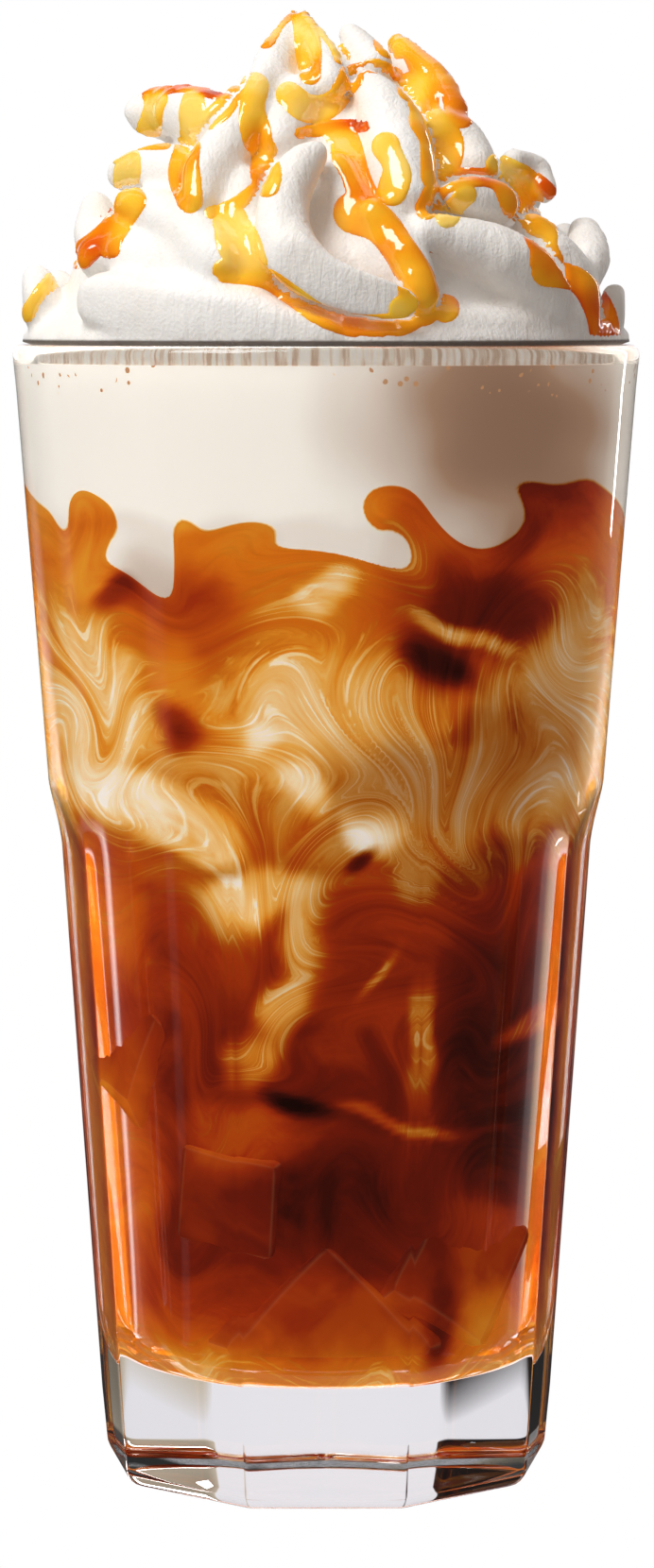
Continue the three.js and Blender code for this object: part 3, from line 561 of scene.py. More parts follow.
def latte_material():
    """Milk stirred into cold coffee: clouds of milk, with streaks read where the whirls carried them from."""
    material, tree = new_material("milk_stirred_into_coffee")
    flow = add(tree, "ShaderNodeAttribute", {"attribute_name": "flow"}).outputs["Vector"]
    milk = add(tree, "ShaderNodeAttribute", {"attribute_name": "milk"}).outputs["Fac"]
    light = add(tree, "ShaderNodeAttribute", {"attribute_name": "light"}).outputs["Fac"]
    here = add(tree, "ShaderNodeTexCoord").outputs["Object"]
    level = add(tree, "ShaderNodeSeparateXYZ", None, {0: flow}).outputs["Z"]

    # Streaks lie along the still layers, so they are longer than high: about 4 mm by 16 mm.
    flat = add(tree, "ShaderNodeMapping", {"vector_type": "TEXTURE"}, {
        "Vector": flow, "Scale": (16.0, 16.0, 4.0),
    })
    streak = add(tree, "ShaderNodeTexNoise", None, {
        "Vector": flat.outputs[0], "Scale": 1.0, "Detail": 6.0, "Roughness": 0.62, "Distortion": 0.5,
    }).outputs["Fac"]
    broad = add(tree, "ShaderNodeMapping", {"vector_type": "TEXTURE"}, {
        "Vector": flow, "Scale": (18.0, 18.0, 9.0),
    })
    cloud = add(tree, "ShaderNodeTexNoise", None, {
        "Vector": broad.outputs[0], "Scale": 1.0, "Detail": 5.0, "Roughness": 0.6, "Distortion": 0.6,
    }).outputs["Fac"]
    both = add(tree, "ShaderNodeMix", {"data_type": "FLOAT"}, {0: 0.7, 2: streak, 3: cloud}).outputs[0]
    swing = add(tree, "ShaderNodeMapRange", None, {
        "Value": both, "From Min": 0.36, "From Max": 0.64, "To Min": -0.5, "To Max": 0.5,
    }).outputs["Result"]

    # Streaks show most where milk and coffee are half mixed: 1.5 m (1 - m) + 0.05.
    rest = add(tree, "ShaderNodeMath", {"operation": "SUBTRACT"}, {0: 1.0, 1: milk}).outputs[0]
    half = add(tree, "ShaderNodeMath", {"operation": "MULTIPLY"}, {0: milk, 1: rest}).outputs[0]
    spread = add(tree, "ShaderNodeMath", {"operation": "MULTIPLY_ADD"}, {0: half, 1: 1.5, 2: 0.05}).outputs[0]
    milky = add(tree, "ShaderNodeMath", {"operation": "MULTIPLY_ADD"}, {
        0: swing, 1: spread, 2: milk,
    }).outputs[0]

    # Thin pale threads of milk, under a millimetre across and drawn out to a few millimetres by the stirring.
    fine = add(tree, "ShaderNodeMapping", {"vector_type": "TEXTURE"}, {
        "Vector": flow, "Scale": (10.0, 10.0, 0.9),
    })
    thread = add(tree, "ShaderNodeTexNoise", None, {
        "Vector": fine.outputs[0], "Scale": 1.0, "Detail": 3.0, "Roughness": 0.5, "Distortion": 0.4,
    }).outputs["Fac"]
    line = add(tree, "ShaderNodeMapRange", {"interpolation_type": "SMOOTHSTEP"}, {
        "Value": thread, "From Min": 0.5, "From Max": 0.7, "To Min": 0.0, "To Max": 0.65,
    }).outputs["Result"]
    lit = add(tree, "ShaderNodeMath", {"operation": "MULTIPLY_ADD"}, {
        0: line, 1: spread, 2: milky,
    }).outputs[0]

    # The milk above floats on the coffee with a sharp border, which the whirls pull into hooks.
    above = add(tree, "ShaderNodeMapRange", {"interpolation_type": "SMOOTHSTEP"}, {
        "Value": level, "From Min": LAYER_MIDDLE - 0.5, "From Max": LAYER_MIDDLE + 0.3,
    }).outputs["Result"]
    share = add(tree, "ShaderNodeMath", {"operation": "MAXIMUM"}, {0: lit, 1: above}).outputs[0]

    glow = add(tree, "ShaderNodeMath", {"operation": "MULTIPLY_ADD"}, {
        0: swing, 1: 0.16, 2: light,
    }).outputs[0]
    coffee = coffee_colour(tree, glow)
    mixed = add(tree, "ShaderNodeValToRGB", None, {"Fac": share}, [
        (0.2, linear("#C2600C")), (0.35, linear("#DC8822")), (0.50, linear("#E6A64C")),
        (0.65, linear("#EBBE7E")), (0.80, linear("#F0D6AE")), (0.92, linear("#F4E6D4")),
        (1.0, linear("#F6EEE2")),
    ]).outputs["Color"]
    # Painted shade: milk and clouds darken to a warm brown where the light value is low, as over the milk at
    # the right.
    painted_shade = add(tree, "ShaderNodeValToRGB", None, {"Fac": light}, [
        (0.1, linear("#74584A")), (0.36, linear("#A98A76")), (0.85, grey(1.0)),
    ]).outputs["Color"]
    shaded = add(tree, "ShaderNodeMix", {"data_type": "RGBA", "blend_type": "MULTIPLY"}, {
        0: 1.0, 6: mixed, 7: painted_shade,
    }).outputs[2]
    much = add(tree, "ShaderNodeMapRange", {"interpolation_type": "SMOOTHSTEP"}, {
        "Value": share, "From Min": 0.08, "From Max": 0.42,
    }).outputs["Result"]
    colour = add(tree, "ShaderNodeMix", {"data_type": "RGBA"}, {0: much, 6: coffee, 7: shaded}).outputs[2]

    # A few tiny bubbles, 0.8 mm and smaller, cling to the glass just under the top of the milk.
    spots = add(tree, "ShaderNodeTexVoronoi", None, {
        "Vector": here, "Scale": 620.0, "Randomness": 1.0,
    }).outputs["Distance"]
    real = add(tree, "ShaderNodeSeparateXYZ", None, {0: here}).outputs["Z"]
    band = add(tree, "ShaderNodeMapRange", {"interpolation_type": "SMOOTHSTEP"}, {
        "Value": real, "From Min": (MILK_TOP - 6.9) * MM, "From Max": (MILK_TOP - 0.9) * MM, "To Min": 0.0,
        "To Max": 0.26,
    }).outputs["Result"]
    bubble = add(tree, "ShaderNodeMath", {"operation": "LESS_THAN"}, {0: spots, 1: band}).outputs[0]
    rare = add(tree, "ShaderNodeTexNoise", None, {
        "Vector": here, "Scale": 260.0, "Detail": 1.0,
    }).outputs["Fac"]
    some = add(tree, "ShaderNodeMath", {"operation": "GREATER_THAN"}, {0: rare, 1: 0.56}).outputs[0]
    shown = add(tree, "ShaderNodeMath", {"operation": "MULTIPLY"}, {0: bubble, 1: some}).outputs[0]
    freckled = add(tree, "ShaderNodeMix", {"data_type": "RGBA"}, {
        0: shown, 6: colour, 7: linear("#B98A63"),
    }).outputs[2]

    # Seen from inside the wall of the glass, coffee mirrors at a slant, as water behind glass does, so its
    # refractive index is below 1. Its glow of its own colour is painted light, for light coming through from
    # behind.
    surface = add(tree, "ShaderNodeBsdfPrincipled", None, {
        "Base Color": freckled, "Roughness": 0.03, "IOR": 0.74, "Specular IOR Level": 0.5,
        "Emission Color": freckled, "Emission Strength": 0.62,
    })
    add(tree, "ShaderNodeOutputMaterial", None, {"Surface": surface.outputs["BSDF"]})
    return material


def ice_material():
    """Ice under coffee: each face takes the colour of the coffee over it, with painted shade from face to face,
    thin pale edges that are painted highlights, and a painted glow.
    """
    material, tree = new_material("ice_in_coffee")
    here = add(tree, "ShaderNodeTexCoord").outputs["Object"]
    light = add(tree, "ShaderNodeAttribute", {"attribute_name": "light"}).outputs["Fac"]
    edge = add(tree, "ShaderNodeAttribute", {"attribute_name": "edge"}).outputs["Fac"]
    # Veils in the ice, about 8 mm across.
    veil = add(tree, "ShaderNodeTexNoise", None, {
        "Vector": here, "Scale": 120.0, "Detail": 3.0, "Roughness": 0.5, "Distortion": 0.6,
    }).outputs["Fac"]
    swing = add(tree, "ShaderNodeMapRange", None, {
        "Value": veil, "From Min": 0.35, "From Max": 0.65, "To Min": -0.05, "To Max": 0.05,
    }).outputs["Result"]
    glow = add(tree, "ShaderNodeMath", {"operation": "ADD"}, {0: light, 1: swing}).outputs[0]
    # Painted highlight: thin pale lines along the cube's edges.
    painted_edge_highlight = add(tree, "ShaderNodeMapRange", {"interpolation_type": "SMOOTHSTEP"}, {
        "Value": edge, "From Min": 0.9, "From Max": 1.0, "To Min": 0.0, "To Max": 0.16,
    }).outputs["Result"]
    colour = add(tree, "ShaderNodeMix", {"data_type": "RGBA"}, {
        0: painted_edge_highlight, 6: coffee_colour(tree, glow), 7: linear("#D9A06A"),
    }).outputs[2]
    # It glows with its own colour: painted light.
    surface = add(tree, "ShaderNodeBsdfPrincipled", None, {
        "Base Color": colour, "Roughness": 0.3, "IOR": 1.31, "Specular IOR Level": 0.1,
        "Emission Color": colour, "Emission Strength": 0.5,
    })
    add(tree, "ShaderNodeOutputMaterial", None, {"Surface": surface.outputs["BSDF"]})
    return material


def cream_material(colour, rim):
    """Whipped cream: a dense white foam that light enters a little, satin, with fine drag lines, a painted
    shadow line over the rim and painted glow behind it.
    """
    material, tree = new_material("whipped_cream")
    here = add(tree, "ShaderNodeTexCoord").outputs["Object"]
    # Drag lines of about 1.2 mm that run down and round the folds, drawn over a grain of 0.4 mm.
    drawn = add(tree, "ShaderNodeMapping", {"vector_type": "TEXTURE"}, {
        "Vector": here, "Scale": (0.0012, 0.0012, 0.006),
    })
    lines = add(tree, "ShaderNodeTexNoise", None, {
        "Vector": drawn.outputs[0], "Scale": 1.0, "Detail": 3.0, "Roughness": 0.55, "Distortion": 0.8,
    }).outputs["Fac"]
    grain = add(tree, "ShaderNodeTexNoise", None, {
        "Vector": here, "Scale": 2200.0, "Detail": 2.0,
    }).outputs["Fac"]
    rough = add(tree, "ShaderNodeMix", {"data_type": "FLOAT"}, {0: 0.3, 2: lines, 3: grain}).outputs[0]
    bump = add(tree, "ShaderNodeBump", None, {
        "Strength": 0.45, "Distance": 0.0008, "Height": rough,
    }).outputs["Normal"]
    patch = add(tree, "ShaderNodeTexNoise", None, {
        "Vector": here, "Scale": 70.0, "Detail": 2.0,
    }).outputs["Fac"]
    warmer = (colour[0] * 0.97, colour[1] * 0.955, colour[2] * 0.93, 1.0)
    tone = add(tree, "ShaderNodeValToRGB", None, {"Fac": patch}, [
        (0.3, warmer), (0.6, (*colour, 1.0)),
    ]).outputs["Color"]
    # Behind the rim the cream is pressed against the glass and a little wet, in upright streaks 0.7 mm wide.
    height = add(tree, "ShaderNodeSeparateXYZ", None, {0: here}).outputs["Z"]
    behind = add(tree, "ShaderNodeMapRange", {"interpolation_type": "SMOOTHSTEP"}, {
        "Value": height, "From Min": (rim - 0.4) * MM, "From Max": (rim + 0.2) * MM, "To Min": 0.8,
        "To Max": 0.0,
    }).outputs["Result"]
    upright = add(tree, "ShaderNodeMapping", {"vector_type": "TEXTURE"}, {
        "Vector": here, "Scale": (0.0007, 0.0007, 0.03),
    })
    streak = add(tree, "ShaderNodeTexNoise", None, {
        "Vector": upright.outputs[0], "Scale": 1.0, "Detail": 2.0,
    }).outputs["Fac"]
    wet = add(tree, "ShaderNodeValToRGB", None, {"Fac": streak}, [
        (0.38, linear("#C8A686")), (0.5, linear("#EEDDC8")), (0.62, linear("#FAF2E6")),
    ]).outputs["Color"]
    # Painted light: behind the rim the cream glows a little, lifting the shade there.
    glow = add(tree, "ShaderNodeMath", {"operation": "MULTIPLY"}, {0: behind, 1: 0.4}).outputs[0]
    tone = add(tree, "ShaderNodeMix", {"data_type": "RGBA"}, {0: behind, 6: tone, 7: wet}).outputs[2]
    # Painted shadow: a thin dark line where the cream overhangs the rim.
    off = add(tree, "ShaderNodeMath", {"operation": "SUBTRACT"}, {0: height, 1: (rim + GAP) * MM}).outputs[0]
    away = add(tree, "ShaderNodeMath", {"operation": "ABSOLUTE"}, {0: off}).outputs[0]
    line = add(tree, "ShaderNodeMapRange", {"interpolation_type": "SMOOTHSTEP"}, {
        "Value": away, "From Min": 0.00025, "From Max": 0.0006, "To Min": 0.8, "To Max": 0.0,
    }).outputs["Result"]
    tone = add(tree, "ShaderNodeMix", {"data_type": "RGBA"}, {
        0: line, 6: tone, 7: linear("#4A382C"),
    }).outputs[2]
    surface = add(tree, "ShaderNodeBsdfPrincipled", {"subsurface_method": "RANDOM_WALK"}, {
        "Base Color": tone, "Roughness": 0.42, "IOR": 1.4, "Specular IOR Level": 0.35,
        "Subsurface Weight": 0.15, "Subsurface Radius": (1.0, 0.8, 0.6), "Subsurface Scale": 0.0014,
        "Normal": bump, "Emission Color": tone, "Emission Strength": glow,
    })
    add(tree, "ShaderNodeOutputMaterial", None, {"Surface": surface.outputs["BSDF"]})
    return material


def caramel_material():
    """Caramel sauce: cooked sugar, wet and glossy, yellow where it is thin and red-brown where it pools."""
    material, tree = new_material("caramel_sauce")
    here = add(tree, "ShaderNodeTexCoord").outputs["Object"]
    tint = add(tree, "ShaderNodeAttribute", {"attribute_name": "tint"}).outputs["Fac"]
    patch = add(tree, "ShaderNodeTexNoise", None, {
        "Vector": here, "Scale": 130.0, "Detail": 1.0,
    }).outputs["Fac"]
    swing = add(tree, "ShaderNodeMapRange", None, {
        "Value": patch, "From Min": 0.3, "From Max": 0.7, "To Min": -0.3, "To Max": 0.2,
    }).outputs["Result"]
    depth = add(tree, "ShaderNodeMath", {"operation": "ADD"}, {0: tint, 1: swing}).outputs[0]
    colour = add(tree, "ShaderNodeValToRGB", None, {"Fac": depth}, [
        (0.0, linear("#FFD468")), (0.2, linear("#FFC438")), (0.42, linear("#FBAA1E")),
        (0.62, linear("#F08A10")), (0.82, linear("#DC5A0A")), (1.0, linear("#A83206")),
    ]).outputs["Color"]
    # Its faint glow of its own colour is painted light, for light passing through the sauce.
    surface = add(tree, "ShaderNodeBsdfPrincipled", {"subsurface_method": "RANDOM_WALK"}, {
        "Base Color": colour, "Roughness": 0.06, "IOR": 1.5, "Specular IOR Level": 1.0,
        "Subsurface Weight": 0.35, "Subsurface Radius": (1.0, 0.35, 0.08), "Subsurface Scale": 0.0012,
        "Emission Color": colour, "Emission Strength": 0.1,
    })
    add(tree, "ShaderNodeOutputMaterial", None, {"Surface": surface.outputs["BSDF"]})
    return material


def ring(tree, way, stops):
    """Colours round the glass by direction: 0 at the front, 0.25 left, 0.5 behind and 0.75 right."""
    part = add(tree, "ShaderNodeSeparateXYZ", None, {0: way}).outputs
    turn = add(tree, "ShaderNodeMath", {"operation": "ARCTAN2"}, {0: part["X"], 1: part["Y"]}).outputs[0]
    share = add(tree, "ShaderNodeMapRange", None, {
        "Value": turn, "From Min": -math.pi, "From Max": math.pi,
    }).outputs["Result"]
    return add(tree, "ShaderNodeValToRGB", None, {"Fac": share}, stops).outputs["Color"]


class TumblerSettings(bpy.types.PropertyGroup):
    """Sizes of the tumbler, in millimetres."""

    height: FloatProperty(name="Height", description="Foot to rim, in millimetres", default=160.0)
    rim_radius: FloatProperty(
        name="Rim radius", description="Outer radius at the rim, in millimetres", default=44.0,
    )
    facets: IntProperty(name="Facets", description="Flat faces round the lower half", default=9, min=3)
    tint: FloatVectorProperty(
        name="Tint", description="Colour of the glass", subtype="COLOR", default=(1.0, 1.0, 1.0),
    )


class DrinkSettings(bpy.types.PropertyGroup):
    """How the coffee and the milk fill the bore."""

    overlap: FloatProperty(
        name="Overlap", description="Reach into the wall, so no air shows, in millimetres", default=0.15,
    )
    step: FloatProperty(
        name="Step", description="Height of a row of faces, in millimetres", default=0.75, min=0.5,
    )


class CreamSettings(bpy.types.PropertyGroup):
    """The whipped cream and its caramel."""

    voxel: FloatProperty(
        name="Voxel", description="Grain of the joined folds, in millimetres", default=0.6, min=0.3,
    )
    colour: FloatVectorProperty(
        name="Cream colour", description="Colour of the whipped cream", subtype="COLOR",
        default=linear("#F8F4EF")[:3],
    )
    drizzle_height: FloatProperty(
        name="Drizzle height", description="Its thickness, in millimetres", default=0.3,
    )


class StageSettings(bpy.types.PropertyGroup):
    """The plain studio."""

    backdrop: FloatVectorProperty(
        name="Backdrop", description="Colour behind it", subtype="COLOR", default=(1.0, 1.0, 1.0),
    )
    key_power: FloatProperty(
        name="Key power", description="Power of the large soft light", unit="POWER", default=7.2,
    )


def pressed(x, y, height, glass):
    """Where a point of the turned wall lies once the facets and their arches are pressed in."""
    half = math.pi / glass.facets
    angle = math.atan2(x, -y)
    facet = round(angle / (2 * half))
    share = (angle - facet * 2 * half) / half
    share = math.copysign(1 - (1 - abs(share)) ** COLUMN_CROWDING, share)
    angle = (facet * 2 + share) * half
    climb = min(max((height - ARCH_START) / (ARCH_END - ARCH_START), 0), 1) ** ARCH_CURVE
    flat = (math.cos(half) * (1 - climb) + climb * ARCH_LIFT) / math.cos(share * half)
    mix = max(RIDGE_REACH - abs(1 - flat), 0) / RIDGE_REACH
    radius = math.hypot(x, y) * (min(1, flat) - mix * mix * RIDGE_CUT)
    return radius * math.sin(angle), -radius * math.cos(angle)


class LATTE_OT_tumbler(bpy.types.Operator):
    """Turn the tumbler, and press its facets and arches"""

    bl_idname = "latte.tumbler"
    bl_label = "Tumbler"

    def execute(self, context):
        glass = context.scene.latte_tumbler
        punt = [(PUNT_RADIUS * i / 6, PUNT_DEPTH * (1 - (i / 6) ** 2)) for i in range(7)]
        bevel = arc(FOOT_RADIUS - FOOT_BEVEL, FOOT_BEVEL, FOOT_BEVEL, -90, 0, 6)
        wall = [(cone_radius(height, glass), height) for height in WALL_ROWS]
        lip = RIM_WALL / 2
        rim = arc(glass.rim_radius - lip, glass.height - lip, lip, 0, 180, 10)
        bore = [(float(bore_radius(height, glass)), height) for height in BORE_ROWS]
        floor = [*floor_corner(0, glass), (FLOOR_RING, FLOOR_THICKNESS), (0, FLOOR_THICKNESS)]
        shape = spun([*punt, *bevel, *wall, *rim, *bore, *floor], glass.facets * COLUMNS_PER_FACET)
        for vert in shape.verts:
            radius, height = math.hypot(vert.co.x, vert.co.y), vert.co.z
            under = radius < PUNT_RADIUS + 1
            inside = height < SHOULDER_HEIGHT + 4 and radius < bore_radius(height, glass) + 0.5
            if not (under or inside):
                vert.co.x, vert.co.y = pressed(vert.co.x, vert.co.y, height, glass)
        made = object_from(shape, "tumbler", glass_material(glass.tint))
        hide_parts("glass")
        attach(made, BODY)
        return {"FINISHED"}


def fill(profile, name, node, material, glass):
    """Turns a body of drink, gives its wall the stirred places, and puts it in the frame."""
    made = object_from(spun(profile, 360), name, material)
    mesh = made.data
    points = read_points(mesh) / MM
    angle = np.arctan2(points[:, 0], -points[:, 1])
    radius = np.hypot(points[:, 0], points[:, 1])
    # The border waves at the wall and is level in the middle, and its waves die out towards a still height.
    bow = (radius / bore_radius(LAYER_MIDDLE, glass)) ** 2
    wave = (layer_height(angle) - LAYER_MIDDLE) * bow
    still = SHOULDER_HEIGHT - ARCH_HEIGHT if node == "coffee" else MILK_TOP
    share = np.clip((points[:, 2] - still) / (LAYER_MIDDLE - still), 0, 1)
    on_border = points[:, 2] + share * wave
    overlap = bpy.context.scene.latte_drink.overlap
    wall = np.abs(radius - (bore_radius(points[:, 2], glass) + overlap)) < 0.05
    grown = np.where(wall, (bore_radius(on_border, glass) + overlap) / np.maximum(radius, 1e-6), 1.0)
    moved = np.stack([points[:, 0] * grown, points[:, 1] * grown, on_border], axis=1)
    mesh.vertices.foreach_set("co", (moved * MM).ravel())
    flow = mesh.attributes.new("flow", "FLOAT_VECTOR", "POINT")
    flow.data.foreach_set("vector", stirred(angle, on_border).ravel())
    milk, light = clouded(angle, on_border)
    put(mesh, "milk", milk)
    put(mesh, "light", light)
    mesh.update()
    mesh.set_sharp_from_angle(angle=math.radians(50))
    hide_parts(node)
    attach(made, BODY)
    return made


class LATTE_OT_drink(bpy.types.Operator):
    """Pour the coffee and the milk, and stir them"""

    bl_idname = "latte.drink"
    bl_label = "Coffee and milk"

    def execute(self, context):
        glass, drink = context.scene.latte_tumbler, context.scene.latte_drink
        material = latte_material()

        def wall(start, top, spare):
            rows = [*np.arange(start, top - spare, drink.step), top]
            return [(float(bore_radius(height, glass)) + drink.overlap, float(height)) for height in rows]

        level = FLOOR_THICKNESS - drink.overlap
        corner = floor_corner(drink.overlap, glass)[::-1]
        rows = wall(corner[-1][1] + drink.step, LAYER_MIDDLE, 0)
        lid = [(radius, LAYER_MIDDLE) for radius in BORDER_RINGS]
        coffee = [(0, level), (FLOOR_RING, level), *corner, *rows, *lid]
        fill(coffee, "stirred_coffee", "coffee", material, glass)
        milk = [*lid[::-1], *wall(LAYER_MIDDLE, MILK_TOP, 0.5), (TOP_RING, MILK_TOP), (0, MILK_TOP)]
        fill(milk, "milk_layer", "milk", material, glass)
        return {"FINISHED"}


class LATTE_OT_ice(bpy.types.Operator):
    """Set the ice cubes against the wall of the glass"""

    bl_idname = "latte.ice"
    bl_label = "Ice"

    def execute(self, context):
        glass = context.scene.latte_tumbler
        material = ice_material()
        for number, (turn, height, edge, *turns) in enumerate(ICE):
            shape = bmesh.new()
            bmesh.ops.create_cube(shape, size=edge)
            bmesh.ops.bevel(
                shape, geom=shape.edges, offset=edge * ICE_BEVEL, affect="EDGES", segments=3, profile=0.5,
                material=-1,
            )
            bmesh.ops.subdivide_edges(shape, edges=shape.edges, cuts=6, use_grid_fill=True)
            # A point's second largest distance from the middle planes, 1 along the cube's edges.
            edges = [sorted(abs(c) for c in vert.co)[1] / (edge / 2) for vert in shape.verts]
            # Painted shade: the faces along X, Y and Z differ a little in lightness, as lit and shaded sides
            # would.
            faces = [ICE_FACE_SHADE_STEP * max(range(3), key=lambda i: abs(vert.co[i])) for vert in shape.verts]
            rotation = Matrix.Identity(3)
            for axis, degrees in zip("XYZ", turns):
                rotation = Matrix.Rotation(math.radians(degrees), 3, axis) @ rotation
            bmesh.ops.rotate(shape, cent=(0, 0, 0), matrix=rotation, verts=shape.verts)
            angle = math.radians(turn)
            out = float(bore_radius(height, glass)) - edge * ICE_INSET
            middle = (out * math.sin(angle), -out * math.cos(angle), height)
            bmesh.ops.translate(shape, vec=middle, verts=shape.verts)
            for vert in shape.verts:
                radius = math.hypot(vert.co.x, vert.co.y)
                most = float(bore_radius(vert.co.z, glass)) + ICE_SHOW
                if radius > most:
                    vert.co.x *= most / radius
                    vert.co.y *= most / radius
                vert.co.z = max(vert.co.z, ICE_LOWEST)
            made = object_from(shape, "ice_cube_%d" % (number + 1), material)
            points = read_points(made.data) / MM
            _, light = clouded(np.arctan2(points[:, 0], -points[:, 1]), points[:, 2])
            put(made.data, "light", light + np.array(faces))
            put(made.data, "edge", edges)
            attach(made, BODY)
        return {"FINISHED"}


def folds(glass):
    """The heap's solid core, and the balls of cream along each fold at the front and at the back."""
    rim = glass.height
    core = [(0, rim - CORE_DEPTH), (CORE_MOUTH, rim - CORE_DEPTH), (CORE_MOUTH, rim + 1)]
    outline = zip(HEAP_HEIGHTS[1:-1], HEAP_RADII[1:-1])
    core += [(radius - CORE_INSET, rim + height) for height, radius in outline]
    shape = spun([*core, (0, rim + CORE_TOP)], 72)
    for side, squeeze in ((1, 1.0), (-1, BACK_FOLDS)):
        for out, fold in FOLDS:
            for x, height, radius in along(fold, BALL_STEP):
                spot = on_heap(x * squeeze, height * squeeze, radius, out, side, rim)
                place = Matrix.Translation(spot)
                bmesh.ops.create_icosphere(shape, subdivisions=2, radius=radius, matrix=place)
    return shape


def held(spot, glass):
    """Moves a point of the cream into the bore or, above the rim, inside its reach, which it nears softly."""
    radius = math.hypot(spot.x, spot.y)
    if spot.z < glass.height + GAP:
        most = float(bore_radius(min(spot.z, glass.height), glass)) + CREAM_OVERLAP
        if spot.z > glass.height - RIM_WALL:
            most -= LIP_CLEARANCE
        spot.z = max(spot.z, MILK_TOP - CREAM_SINK)
    else:
        spare = max(radius - CREAM_REACH + CREAM_SOFTENING, 0) / CREAM_SOFTENING
        most = CREAM_REACH - CREAM_SOFTENING * math.exp(-spare) if spare > 0 else radius
    if radius > most:
        spot.x *= most / radius
        spot.y *= most / radius


class LATTE_OT_cream(bpy.types.Operator):
    """Heap the folds of whipped cream, and join them"""

    bl_idname = "latte.cream"
    bl_label = "Whipped cream"

    def execute(self, context):
        glass, cream = context.scene.latte_tumbler, context.scene.latte_cream
        rim = glass.height
        made = object_from(folds(glass), "whipped_cream_heap", cream_material(cream.colour, rim))
        remesh = made.modifiers.new("join", "REMESH")
        remesh.mode = "VOXEL"
        remesh.voxel_size = cream.voxel * MM * 1
        joined = bpy.data.meshes.new_from_object(made.evaluated_get(context.evaluated_depsgraph_get()))
        made.modifiers.clear()
        made.data = joined
        rounds = EASING_ROUNDS
        eased = relaxed(read_points(joined), read_links(joined), rounds)
        joined.vertices.foreach_set("co", eased.ravel())
        shape = bmesh.new()
        shape.from_mesh(joined)
        shape.normal_update()
        for vert in shape.verts:
            spot = vert.co / MM
            if spot.z > rim + 1:
                swell = 0
                for size, wide, start in SWELLS:
                    swell += size * noise.noise(spot / wide + Vector((start, 0, 0)))
                spot += vert.normal * swell
            held(spot, glass)
            vert.co = spot * MM
        shape.to_mesh(joined)
        shape.free()
        joined.shade_smooth()
        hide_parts("whipped_cream")
        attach(made, BODY)
        return {"FINISHED"}


def pour_spots(glass):
    """Every pour's points as the eye sees them: places, half widths, tints, and 1 in front or -1 behind."""
    spots, widths, tints, sides = [], [], [], []
    pours = [(1, 1.0, pour) for pour in DRIZZLE] + [(-1, BACK_POURS, DRIZZLE[i]) for i in BACK_DRIZZLE]
    for side, squeeze, (width, tint, route) in pours:
        line = along([(x * squeeze, height * squeeze, 0) for x, height in route], POUR_STEP)
        for number, spot in enumerate(line):
            share = number / max(len(line) - 1, 1)
            spots.append((spot.x, glass.height + spot.y))
            widths.append(POUR_HALF * width * (1 + POUR_SWING * math.sin(6 * share + width * 9)))
            tints.append(tint + POUR_REDDENING * (share - 0.5))
            sides.append(side)
    return np.array(spots), np.array(widths), np.array(tints), np.array(sides)


def nearness(points, pours):
    """How far out in the nearest pour each point looks, 1 at its edge, and the tint of the pours round it."""
    side = np.where(points[:, 1] > 0, -1, 1)
    near = EYE_DISTANCE / (EYE_DISTANCE + side * points[:, 1])
    seen = np.stack([points[:, 0] * near, EYE_HEIGHT + (points[:, 2] - EYE_HEIGHT) * near], axis=1)
    least, total, shade = np.full(len(points), 9.0), np.full(len(points), 1e-9), np.zeros(len(points))
    for spot, width, tint, facing in zip(*pours):
        gap = np.where(side == facing, np.hypot(*(seen - spot).T) / width, 9.0)
        weight = np.exp(-3 * gap ** 2)
        total += weight
        shade += weight * tint
        least = np.minimum(least, gap)
    return least, shade / total


def bare_points(shape, least, glass):
    """The points of the cream's skin that no caramel covers."""
    tree = BVHTree.FromBMesh(shape)
    bare = []
    for vert, gap in zip(shape.verts, least):
        hidden = gap > CUT_AT or vert.co.z < (glass.height + RIM_CLEARANCE) * MM
        if not hidden:
            eye = Vector((0, (EYE_DISTANCE if vert.co.y > 0 else -EYE_DISTANCE) * MM, EYE_HEIGHT * MM))
            way = vert.co - eye
            place = tree.ray_cast(eye, way.normalized())[0]
            hidden = place is not None and (place - eye).length < way.length - HIDDEN_DEPTH * MM
            hidden = hidden or vert.normal.dot(way.normalized()) > TURNED_AWAY
        if hidden:
            bare.append(vert)
    return bare


def rows_from_cut(shape):
    """How many rows from where the skin was cut off its points lie, for the rows that sink there."""
    row = {vert: 0 for vert in shape.verts if vert.is_boundary}
    edge = list(row)
    for number in range(1, CUT_ROWS):
        near = [link.other_vert(vert) for vert in edge for link in vert.link_edges]
        edge = [vert for vert in near if vert not in row]
        row.update(dict.fromkeys(edge, number))
    return row


